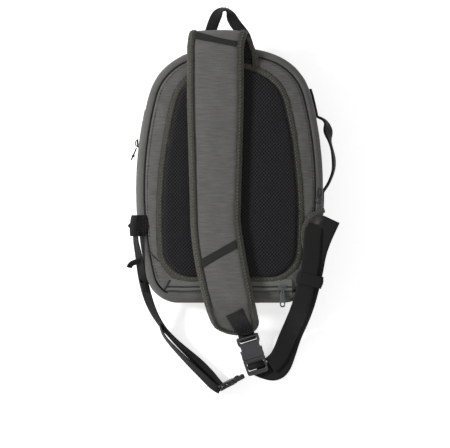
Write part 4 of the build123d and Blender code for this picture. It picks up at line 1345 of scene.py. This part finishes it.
    def anchor(self):
        middle_y = (TAB_LOW.y + TAB_HIGH.y) / 2
        width = TAB_HIGH.y - TAB_LOW.y
        x = TAB_LOW.x
        profile = [(x + 22, RIM_Z + 1.8), (x + 17, RIM_Z + 2.4), (x + 11, RIM_Z + 5.5),
                   (x + 4.5, RIM_Z + 7.8),
                   (x - 1.5, RIM_Z + 5.5), (x - 1.8, RIM_Z + 0.5), (x + 2.5, RIM_Z - 1.6), (x + 8,
                                                                                            RIM_Z + 0.2),
                   (x + 10, RIM_Z + 3.2), (x + 6.5, RIM_Z + 4.6), (x + 3.5, RIM_Z + 2.6)]
        line = curve_points([(px, middle_y, pz) for px, pz in profile], 10)
        tab = ribbon("left_anchor_fold", line, width, 2.0)
        for vertex in tab.data.vertices:
            out = (vertex.co.y / MM - middle_y) / (width / 2)
            vertex.co.x += (1.2 * out**2 * (1 if vertex.co.x / MM < x + 8 else -1.5) + 1.0 * out) * MM
            vertex.co.z -= 1.6 * out**4 * MM
        fit(tab, "black_webbing", "webbing", LID, "left_anchor_tab")
        for k, row_x in enumerate((x + 19.5, x + 16.5)):
            row = [Vector((row_x, TAB_LOW.y + 2 + (width - 4) * j / 10,
                           RIM_Z + 3.4 + k)) for j in range(11)]
            stitches(f"anchor_stitches_{k}", row, LID, finish="black_thread", width=0.7)
        hook = curve_points([(-124, -120, 60), (-130, -121.5, 61.5), (-136, -123, 62), (-141, -126, 61.5),
                             (-142.5, -130, 60.5)], 8)
        small = ribbon("side_tab", hook, 8.0, 3.0, lambda share: 35.0)
        webbing_blend(paint(small, "black_webbing", finish_of("narrow_webbing")))


def outline_x(y, inset):
    """Half width of the bag at a place along it."""
    points = bag_outline(inset)[:sizes().around // 2 + 1]
    for (x0, y0), (x1, y1) in zip(points, points[1:]):
        if y0 >= y >= y1 and y0 > y1:
            return x0 + (x1 - x0) * (y0 - y) / (y0 - y1)
    return points[-1][0]


# --- handles ------------------------------

class SLINGBAG_OT_handles(bpy.types.Operator):
    """Haul loop at the top, side handle, and the strips they are sewn to"""
    bl_idname = "slingbag.handles"
    bl_label = "Handles"

    def execute(self, context):
        self.haul_loop()
        self.side_handle()
        self.strips()
        return {"FINISHED"}

    def haul_loop(self):
        low, high = limits("haul_loop")
        z = (low.z + high.z) / 2
        left, right = low.x + 6.5, high.x - 8.5
        middle = (left + right) / 2 - 4
        tip = high.y - 6.5
        route = [(left, low.y, z), (left + 2.5, low.y + 8, z), (left + 5, low.y + 16, z),
                 (middle - 14, (low.y + 16 + tip) / 2 + 5, z), (middle - 7, tip + 1.5, z), (middle,
                                                                                            tip + 4.5, z + 0.5),
                 (middle + 7, tip + 1.5, z), (middle + 13, (low.y + 16 + tip) / 2 + 2, z), (right - 5.5,
                                                                                            low.y + 16, z),
                 (right - 2.5, low.y + 8, z), (right, low.y, z)]
        line = curve_points(route, 10)
        roll = lambda share: 72 * math.exp(-((share - 0.5) / 0.11) ** 2)
        loop = ribbon("haul_loop_band", line, 16.0, 2.4, roll, crown=0.8)
        fit(loop, "black_webbing", "webbing", "haul_loop", "haul_loop")
        seam("haul_loop_stitches", line, (-5.0, 5.0), "black_thread", "haul_loop", roll, 1.9, (0.05, 0.95))

    def side_handle(self):
        low, high = limits("side_handle")
        z = (low.z + high.z) / 2
        top_y, end_y = 83, -21
        side, end_side = outline_x(top_y, 0), outline_x(end_y, 0)
        route = [(side - 2, top_y + 5, z), (side + 2.5, top_y + 0.5, z), (side + 9, top_y - 1.5, z),
                 (side + 15.5, top_y - 7, z), (side + 17.5, top_y - 19, z), (side + 19.5, top_y - 33, z),
                 (side + 23.5, top_y - 46, z), (side + 26, top_y - 61, z), (side + 25.5, top_y - 76, z),
                 (end_side + 9, end_y + 11, z), (end_side + 2.5, end_y + 1, z), (end_side - 2, end_y - 5,
                                                                                 z)]
        line = curve_points(route, 10)
        roll = lambda share: 84 - 34 * math.exp(-((share - 0.26) / 0.09) ** 2) - 8 * math.exp(-((share - 0.6) / 0.12) ** 2)
        handle = ribbon("side_handle_band", line, 19, 3.4, roll)
        fit(handle, "black_webbing", "webbing", "side_handle", "side_handle")

    def strips(self):
        for name, node, side in (("handle_strip_upper", "handle_patch_upper", 1),
                                 ("handle_strip_lower", "handle_patch_lower", 1),
                                 ("haul_loop_strip", "haul_loop_patch", 0),
                                 ("front_pocket_zip_tape", "front_pocket_zip", -1)):
            low, high = limits(node)
            strip = self.strip(name, low, high, side, 3.0 if name == "handle_strip_upper" else 1.2)
            paint(strip, "zip" if side < 0 else "black_webbing",
                  finish_of("webbing" if side >= 0 else "narrow_webbing"))
            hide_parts(node)
            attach(strip, BAG_BODY)
        low, high = limits("front_pocket_zip")
        z = (low.z + high.z) / 2
        line = [(-outline_x(y, -1.5), y, z) for y in self.steps(low.y, high.y)]
        outwards = lambda place: Vector((-1, 0, 0))
        coil = lozenges("front_pocket_coil", along_path(line, 1.3), 1.0, 2.4, 1.2, up=outwards)
        fit(coil, "zip", "zip", BAG_BODY)

    def steps(self, low, high, count=24):
        return [low + (high - low) * k / count for k in range(count + 1)]

    def strip(self, name, low, high, side, proud):
        """Tape sewn to the bag's side between two heights."""
        rows = []
        for z, out in ((low.z, 0.2), (low.z + 0.8, proud), (high.z - 0.8, proud), (high.z, 0.2)):
            if side:
                rows.append([(side * outline_x(y, -out), y, z) for y in self.steps(low.y, high.y)])
            else:
                points = [point for point in bag_outline(-out) if low.x <= point[0] <= high.x and point[1] > 100]
                rows.append([(x, y, z) for x, y in sorted(points)])
        return tidy(grid(name, rows, outward=side >= 0), thickness=0.6, offset=1)


# --- buckles ------------------------------

def rounded(points, radius, steps=5):
    """Plan outline with its corners rounded."""
    found = []
    count = len(points)
    for i, point in enumerate(points):
        here = Vector(point)
        before, after = Vector(points[i - 1]), Vector(points[(i + 1) % count])
        reach = min(radius, (before - here).length * 0.45, (after - here).length * 0.45)
        a, b = here + (before - here).normalized() * reach, here + (after - here).normalized() * reach
        for k in range(steps + 1):
            t = k / steps
            found.append(a * (1 - t) ** 2 + here * (2 * t * (1 - t)) + b * t**2)
    return found


def plate(name, outlines, low, high, bevel, place=None, radius=2.0):
    """Flat moulded part with holes and rounded edges: the first outline is its outside, the others are holes."""
    curve = bpy.data.curves.new(name, "CURVE")
    curve.dimensions = "2D"
    curve.fill_mode = "BOTH"
    curve.extrude = ((high - low) / 2 - bevel) * MM
    curve.bevel_depth = bevel * MM
    curve.bevel_resolution = 3
    curve.offset = -bevel * MM
    for k, outline_points in enumerate(outlines):
        corners = rounded(outline_points, radius if k == 0 else min(radius, 1.4))
        spline = curve.splines.new("POLY")
        spline.points.add(len(corners) - 1)
        for knot, corner in zip(spline.points, corners):
            knot.co = (corner.x * MM, corner.y * MM, 0, 1)
        spline.use_cyclic_u = True
    line = link(bpy.data.objects.new(name + "_outline", curve))
    mesh = evaluated_mesh(line)
    bpy.data.objects.remove(line)
    matrix = Matrix.Translation((0, 0, (low + high) / 2 * MM))
    mesh.transform(place @ matrix if place else matrix)
    mesh.polygons.foreach_set("use_smooth", [True] * len(mesh.polygons))
    piece = link(bpy.data.objects.new(name, mesh))
    weld = piece.modifiers.new("weld", "WELD")
    weld.merge_threshold = 0.00002
    apply_modifiers(piece)
    piece.data.set_sharp_from_angle(angle=math.radians(38))
    return piece


def box_outline(x0, x1, y0, y1):
    return [(x0, y0), (x1, y0), (x1, y1), (x0, y1)]


def buckle_place(start, heading, tilt, on_edge):
    """Matrix that lays a buckle along a heading, flat or on its edge."""
    angle, drop = math.radians(heading), math.radians(tilt)
    along = Vector((math.cos(angle) * math.cos(drop), math.sin(angle) * math.cos(drop), -math.sin(drop)))
    across = Vector((-math.sin(angle), math.cos(angle), 0))
    up = along.cross(across)
    normal = across if on_edge else up
    side = normal.cross(along)
    matrix = Matrix((along, side, normal)).transposed().to_4x4()
    matrix.translation = Vector(start) * MM
    return matrix


class SLINGBAG_OT_buckles(bpy.types.Operator):
    """Two side-release buckles, each with its socket, plug and sprung prongs"""
    bl_idname = "slingbag.buckles"
    bl_label = "Buckles"

    def execute(self, context):
        self.buckle("main_buckle", WIDE, 57.0, 11.0, buckle_place((24.5, -230.0, 12.0), -72.7, 5.0, False),
                    ("left", "right"), "main_prong")
        self.buckle("small_buckle", NARROW, 40.0, 8.5, buckle_place((-15.0, -305.0, 13.0), 27.0, 0.0, True),
                    ("lower", "upper"), "small_prong")
        return {"FINISHED"}

    def buckle(self, name, webbing, length, thick, place, sides, prong_body):
        half = webbing / 2 + 4
        end = length * 0.58
        bar, slot = length * 0.09, length * 0.07
        top = thick / 2
        window = (end - length * 0.27 - 1, end - length * 0.13 + 1)
        waist = half - 2.6

        def keep(piece, node, body):
            paint(piece, "buckle_plastic", finish_of("plastic" if webbing > WIDE_LIMIT else "dark_plastic"))
            if node:
                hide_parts(node)
            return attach(piece, body)

        shell = [(0, -half), (bar + slot, -half), (bar + slot + 4, -waist), (window[0] + 3, -waist),
                 (window[1], -half + 0.4), (end, -half), (end, half), (window[1], half - 0.4),
                 (window[0] + 3, waist), (bar + slot + 4, waist), (bar + slot, half), (0, half)]
        hole = box_outline(bar, bar + slot, -webbing / 2, webbing / 2)
        for side, low, high in (("upper", top - 3.0, top), ("lower", -top, 3.0 - top)):
            piece = plate(f"{name}_socket_{side}_shell", [shell, hole], low, high, 1.1, place, 2.6)
            keep(piece, f"{name}_socket" if side == "upper" else None, STRAP)
        walls = [(bar + slot + 1, -waist), (window[0], -waist), (window[0], 0), (window[0], waist),
                 (bar + slot + 1, waist)]
        keep(plate(f"{name}_socket_root", [walls], 2.4 - top, top - 2.4, 0.5, place, 1.0), None, STRAP)
        for side in (-1, 1):
            y = sorted((side * (half - 5.5), side * (half - 0.3)))
            mouth = box_outline(window[1] - 1, end - 0.2, *y)
            piece = plate(f"{name}_socket_mouth_{'left' if side < 0 else 'right'}", [mouth], 2.4 - top,
                          top - 2.4,
                          0.5, place, 1.0)
            keep(piece, None, STRAP)
        recess = [(window[0] + 1, 0), (window[0] + 4, -waist * 0.5), (window[1] + 1, -waist * 0.62),
                  (end - 3.5, 0), (window[1] + 1, waist * 0.62), (window[0] + 4, waist * 0.5)]
        keep(plate(f"{name}_socket_badge", [recess], top - 0.5, top + 0.35, 0.3, place, 4.0), None, STRAP)

        start = end + 0.3
        body = [(start, -half), (length - 2.5, -half + 1.0), (length, -half + 3.5), (length, half - 3.5),
                (length - 2.5, half - 1.0), (start, half)]
        slots = [box_outline(first, first + slot, -webbing / 2, webbing / 2)
                 for first in (length - 6 - slot, length - 10 - 2 * slot)]
        plug_top = top - 1.2
        keep(plate(f"{name}_plug_frame", [body] + slots, -plug_top, plug_top, 1.6, place, 2.6),
             f"{name}_plug", STRAP)
        lip = box_outline(start, start + 3.2, -half + 0.6, half - 0.6)
        keep(plate(f"{name}_plug_collar", [lip], -top + 0.2, top - 0.1, 1.2, place, 1.5), None, STRAP)
        for k in range(3):
            x = length - 4.6 + 1.5 * k
            ridge = box_outline(x - 0.45, x + 0.45, -half + 5, half - 5)
            keep(plate(f"{name}_grip_{k}", [ridge], plug_top - 0.5, plug_top + 0.45, 0.3, place, 0.4), None,
                 STRAP)
        guide = [(end - length * 0.25, -0.7), (start + 1, -0.7), (start + 1, 0.7),
                 (end - length * 0.25, 0.7)]
        keep(plate(f"{name}_guide", [guide], -top + 2.8, top - 2.8, 0.3, place, 0.4), None, STRAP)
        self.wrap(name, webbing, length, slot, plug_top, place)
        self.prongs(name, half, end, length, top, place, sides, prong_body, keep)

    def prongs(self, name, half, end, length, top, place, sides, prong_body, keep):
        cavity = half - 3.5
        root = end + 4
        tooth = (end - length * 0.27, end - length * 0.13)
        for sign, side in zip((-1, 1), sides):
            arm = [(root + 1.2, cavity - 5.0), (root + 1.2, cavity - 1.6), (tooth[1] + 1.5, cavity - 1.2),
                   (tooth[1] - 0.3, half - 0.6), (tooth[0] + 2.5, half - 0.4), (tooth[0], cavity - 1.5),
                   (tooth[0] + 0.5, cavity - 4.6)]
            outline_points = [(x, sign * y) for x, y in arm]
            piece = plate(f"{name}_prong_{side}_arm", [outline_points], 2.8 - top, top - 2.8, 0.6, place,
                          1.2)
            keep(piece, f"{name}_prong_{side}", f"{prong_body}_{side}")
            for k in range(3):
                x = tooth[0] + 2.4 + 1.6 * k
                rib = box_outline(x - 0.35, x + 0.35, *sorted((sign * (half - 1.6), sign * (half - 0.1))))
                keep(plate(f"{name}_prong_{side}_rib_{k}", [rib], 3.1 - top, top - 3.1, 0.2, place, 0.3),
                     None,
                     f"{prong_body}_{side}")

    def wrap(self, name, webbing, length, slot, top, place):
        """Webbing turned over the plug's middle bar and the socket's end bar."""
        middle = length - 8 - slot
        over = [(middle - 4.2, -top), (middle - 4.0, 0.5), (middle - 2.6, top + 0.6), (middle, top + 1.0),
                (middle + 2.6, top + 0.6), (middle + 4.0, 0.5), (middle + 4.2, -top)]
        end = length * 0.045
        lead = [(-6.0, 0.0), (-2.6, 0.2), (end - 3.0, 1.6), (end + 0.4, top + 1.3), (end + 3.6, top - 0.6),
                (end + 4.2, 0.0), (end + 3.0, -top - 0.4), (end - 2.5, -top)]
        for label, points in (("plug", over), ("socket", lead)):
            flat = curve_points([(x, 0, z) for x, z in points], 8)
            line = [place @ (point * MM) / MM for point in flat]
            side = (place.to_3x3() @ Vector((0, 1, 0))).normalized()
            rows = []
            for offset, lift in ((-0.5, 0.5), (0.5, 0.5), (0.5, -0.5), (-0.5, -0.5)):
                row = []
                for i, point in enumerate(line):
                    ahead = (line[min(i + 1, len(line) - 1)] - line[max(i - 1, 0)]).normalized()
                    normal = ahead.cross(side)
                    row.append(point + side * (offset * (webbing - 1.2)) + normal * (lift * 1.5))
                rows.append(row)
            band = grid(f"{name}_{label}_wrap", rows, ring=True)
            paint(band, "black_webbing", finish_of("webbing" if webbing > WIDE_LIMIT else "narrow_webbing"))
            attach(band, STRAP)


# --- zip fittings ------------------------------

class SLINGBAG_OT_zip_fittings(bpy.types.Operator):
    """Sliders, the ring, the cord pull and the lower pocket's pull"""
    bl_idname = "slingbag.zip_fittings"
    bl_label = "Zip fittings"

    def execute(self, context):
        self.pocket_slider()
        self.pocket_pull()
        self.main_slider()
        self.front_slider()
        return {"FINISHED"}

    def metal(self, piece, node, body):
        paint(piece, "zip_metal", finish_of("metal" if body.startswith("pocket") else "dark_metal"))
        if node:
            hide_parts(node)
        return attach(piece, body)

    def slider(self, name, node, body, place, length, width, height):
        """Slider that widens towards its front, with a bridge over it."""
        half, wide = length / 2, width / 2
        shape = [(-half, -wide * 0.62), (half * 0.2, -wide), (half, -wide * 0.9), (half, wide * 0.9),
                 (half * 0.2, wide), (-half, wide * 0.62)]
        self.metal(plate(name + "_body", [shape], 0.0, height * 0.55, 0.5, place, 1.5), node, body)
        bridge = curve_points([(-half * 0.7, 0, height * 0.5), (-half * 0.6, 0, height * 0.95),
                               (0, 0, height * 1.05),
                               (half * 0.6, 0, height * 0.95), (half * 0.7, 0, height * 0.5)], 8)
        line = [place @ (point * MM) / MM for point in bridge]
        self.metal(tube(name + "_bridge", line, 0.75, 10), None, body)

    def pocket_slider(self):
        middle = (SLIDER_LOW + SLIDER_HIGH) / 2
        place = Matrix.Translation(Vector((middle.x, middle.y, SLIDER_LOW.z + SLIDER_LIFT)) * MM)
        size = SLIDER_HIGH - SLIDER_LOW
        self.slider("pocket_slider", "pocket_zip_slider", "pocket_slider", place, size.x, size.y,
                    size.z - SLIDER_LIFT)

    def pocket_pull(self):
        low, high = limits("pocket_zip_pull")
        middle, half = (low.x + high.x) / 2, (high.x - low.x) / 2 + 0.6
        length = high.y - low.y
        shape = [(-2.2, 0), (-2.8, -6), (-half + 0.8, -9), (-half, -length + 5), (-half + 1, -length),
                 (half - 1, -length),
                 (half, -length + 5), (half - 0.8, -9), (2.8, -6), (2.2, 0)]
        hole = [(math.cos(t) * 2.3, math.sin(t) * 2.3 - length + 4.4) for t in (k * math.pi / 6 for k in range(12))]
        slot = box_outline(-0.9, 0.9, -5.6, -2.2)
        place = Matrix.Translation(Vector((middle, high.y, 0)) * MM)
        pull = plate("pocket_pull_body", [shape, hole, slot], low.z, high.z, 0.6, place, 2.4)
        self.metal(pull, "pocket_zip_pull", "pocket_pull")
        inset = [(-1.7, -8.5), (1.7, -8.5), (2.3, -length + 9), (-2.3, -length + 9)]
        panel = plate("pocket_pull_panel", [inset], high.z - 0.2, high.z + 0.35, 0.25, place, 1.2)
        self.metal(panel, None, "pocket_pull")

    def main_slider(self):
        low, high = limits("main_zip_slider")
        middle = (low + high) / 2
        place = Matrix.Translation(Vector((middle.x, middle.y, low.z)) * MM) @ Matrix.Rotation(-math.pi / 2,
                                                                                               4, "Z")
        size = high - low
        self.slider("main_slider", "main_zip_slider", "main_slider", place, size.y, size.x, size.z)
        low, high = limits("main_zip_ring")
        middle, radius = (low + high) / 2, (high.x - low.x) / 2 - 0.8
        line = [(middle.x + radius * math.cos(t), middle.y + radius * math.sin(t), middle.z)
                for t in (2 * math.pi * k / 40 for k in range(40))]
        self.metal(tube("main_ring_wire", line, 0.8, 10, closed=True), "main_zip_ring", "main_ring")

    def front_slider(self):
        low, high = limits("front_zip_slider")
        middle = (low + high) / 2
        turn = Matrix.Rotation(-math.pi / 2, 4, "Y") @ Matrix.Rotation(math.pi / 2, 4, "Z")
        base = Vector((high.x - 1.2, middle.y, middle.z)) * MM
        place = Matrix.Translation(base) @ Matrix.Rotation(math.radians(4), 4, "Z") @ turn
        self.slider("front_slider", "front_zip_slider", "front_slider", place, high.y - low.y,
                    high.z - low.z, 4.2)
        low, high = limits("front_zip_pull")
        x, top, z = (low.x + high.x) / 2, high.y, (low.z + high.z) / 2
        for k, shift in enumerate((-1.0, 1.0)):
            strand = curve_points([(x + 1.0, top, z + shift), (x - 0.8, top - 5, z + shift * 1.3),
                                   (x - 2.6, top - 9, z + shift),
                                   (x - 4.2, top - 12.5, z + shift * 0.8), (x - 6.6, top - 17.5,
                                                                            z + shift)], 8)
            cord = tube(f"front_pull_cord_{k}", strand, 0.9, 10)
            paint(cord, "cord", finish_of("cord"))
            if k == 0:
                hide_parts("front_zip_pull")
            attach(cord, "front_pull")
        knot_x, knot_y = x - 3.6, top - 11.5
        knot = tube("front_pull_knot", curve_points([(knot_x + 0.4, knot_y + 1, z - 1.4),
                                                     (knot_x - 1.4, knot_y, z),
                                                     (knot_x, knot_y - 1.2, z + 1.4), (knot_x + 1.4, knot_y,
                                                                                       z),
                                                     (knot_x + 0.4, knot_y + 1, z - 1.4)], 8), 1.3, 10)
        fit(knot, "cord", "cord", "front_pull")


# --- studio ------------------------------

class SLINGBAG_OT_stage(bpy.types.Operator):
    """Pale floor, soft studio light and the camera over the back panel"""
    bl_idname = "slingbag.stage"
    bl_label = "Studio"

    def execute(self, context):
        stage = context.scene.sling_bag_stage
        self.floor(stage)
        self.lights(stage)
        self.camera(stage)
        return {"FINISHED"}

    def floor(self, stage):
        floor = new_mesh("studio_floor", [(-4000, -4000, -0.6), (4000, -4000, -0.6), (4000, 4000, -0.6),
                                          (-4000, 4000, -0.6)],
                         [(0, 1, 2, 3)])
        shade = Shade("pale_floor", Roughness=0.9, Specular_IOR_Level=0.1)
        shade.surface.inputs["Base Color"].default_value = (*stage.floor, 1)
        shade.surface.inputs["Emission Color"].default_value = (1, 1, 1, 1)
        shade.surface.inputs["Emission Strength"].default_value = 0.62
        floor.data.materials.append(shade.material)

    def lights(self, stage):
        world = bpy.data.worlds.new("studio_sky")
        world.use_nodes = True
        world.node_tree.nodes["Background"].inputs["Color"].default_value = (1, 1, 1, 1)
        world.node_tree.nodes["Background"].inputs["Strength"].default_value = 0.33
        bpy.context.scene.world = world
        bpy.context.scene.view_settings.view_transform = "Standard"
        for name, place, power, size in (("key_light", (-1.6, 0.35, 1.15), stage.key_power, 0.4),
                                         ("fill_light", (1.3, -0.6, 1.8), stage.key_power * 0.22, 1.6)):
            light = bpy.data.lights.new(name, "AREA")
            light.energy = power
            light.size = size
            lamp = link(bpy.data.objects.new(name, light))
            lamp.location = place
            lamp.rotation_euler = (Vector((0, 0, 0.05)) - Vector(place)).to_track_quat("-Z", "Y").to_euler()

    def camera(self, stage):
        data = bpy.data.cameras.new("camera")
        data.sensor_width = 36
        data.lens = 36 * (stage.camera_height - PAD_TOP_Z * MM) / stage.view_width
        camera = link(bpy.data.objects.new("camera", data))
        camera.location = (-0.007, -0.0686, stage.camera_height)
        bpy.context.scene.camera = camera


# --- panel and run ------------------------------

class SLINGBAG_PT_panel(bpy.types.Panel):
    """Lists the settings and the steps that build the bag"""
    bl_idname = "SLINGBAG_PT_panel"
    bl_label = "Sling Bag"
    bl_space_type = "VIEW_3D"
    bl_region_type = "UI"
    bl_category = "Sling Bag"

    def draw(self, context):
        for group in ("sling_bag_colours", "sling_bag_sizes", "sling_bag_stage"):
            settings = getattr(context.scene, group)
            for name in settings.__annotations__:
                self.layout.prop(settings, name)
        for step in STEPS:
            self.layout.operator(step.bl_idname)


STEPS = (SLINGBAG_OT_stage, SLINGBAG_OT_shell, SLINGBAG_OT_main_zip, SLINGBAG_OT_back_panel,
         SLINGBAG_OT_strap,
         SLINGBAG_OT_webbing, SLINGBAG_OT_handles, SLINGBAG_OT_buckles, SLINGBAG_OT_zip_fittings)
SETTINGS = {"sling_bag_colours": SlingBagColours, "sling_bag_sizes": SlingBagSizes,
            "sling_bag_stage": SlingBagStage}


def register():
    for group, settings in SETTINGS.items():
        bpy.utils.register_class(settings)
        setattr(bpy.types.Scene, group, PointerProperty(type=settings))
    for step in STEPS:
        bpy.utils.register_class(step)
    bpy.utils.register_class(SLINGBAG_PT_panel)


def unregister():
    bpy.utils.unregister_class(SLINGBAG_PT_panel)
    for step in reversed(STEPS):
        bpy.utils.unregister_class(step)
    for group, settings in SETTINGS.items():
        delattr(bpy.types.Scene, group)
        bpy.utils.unregister_class(settings)


def main():
    register()
    for step in STEPS:
        group, name = step.bl_idname.split(".")
        getattr(getattr(bpy.ops, group), name)()


if __name__ == "__main__":
    main()
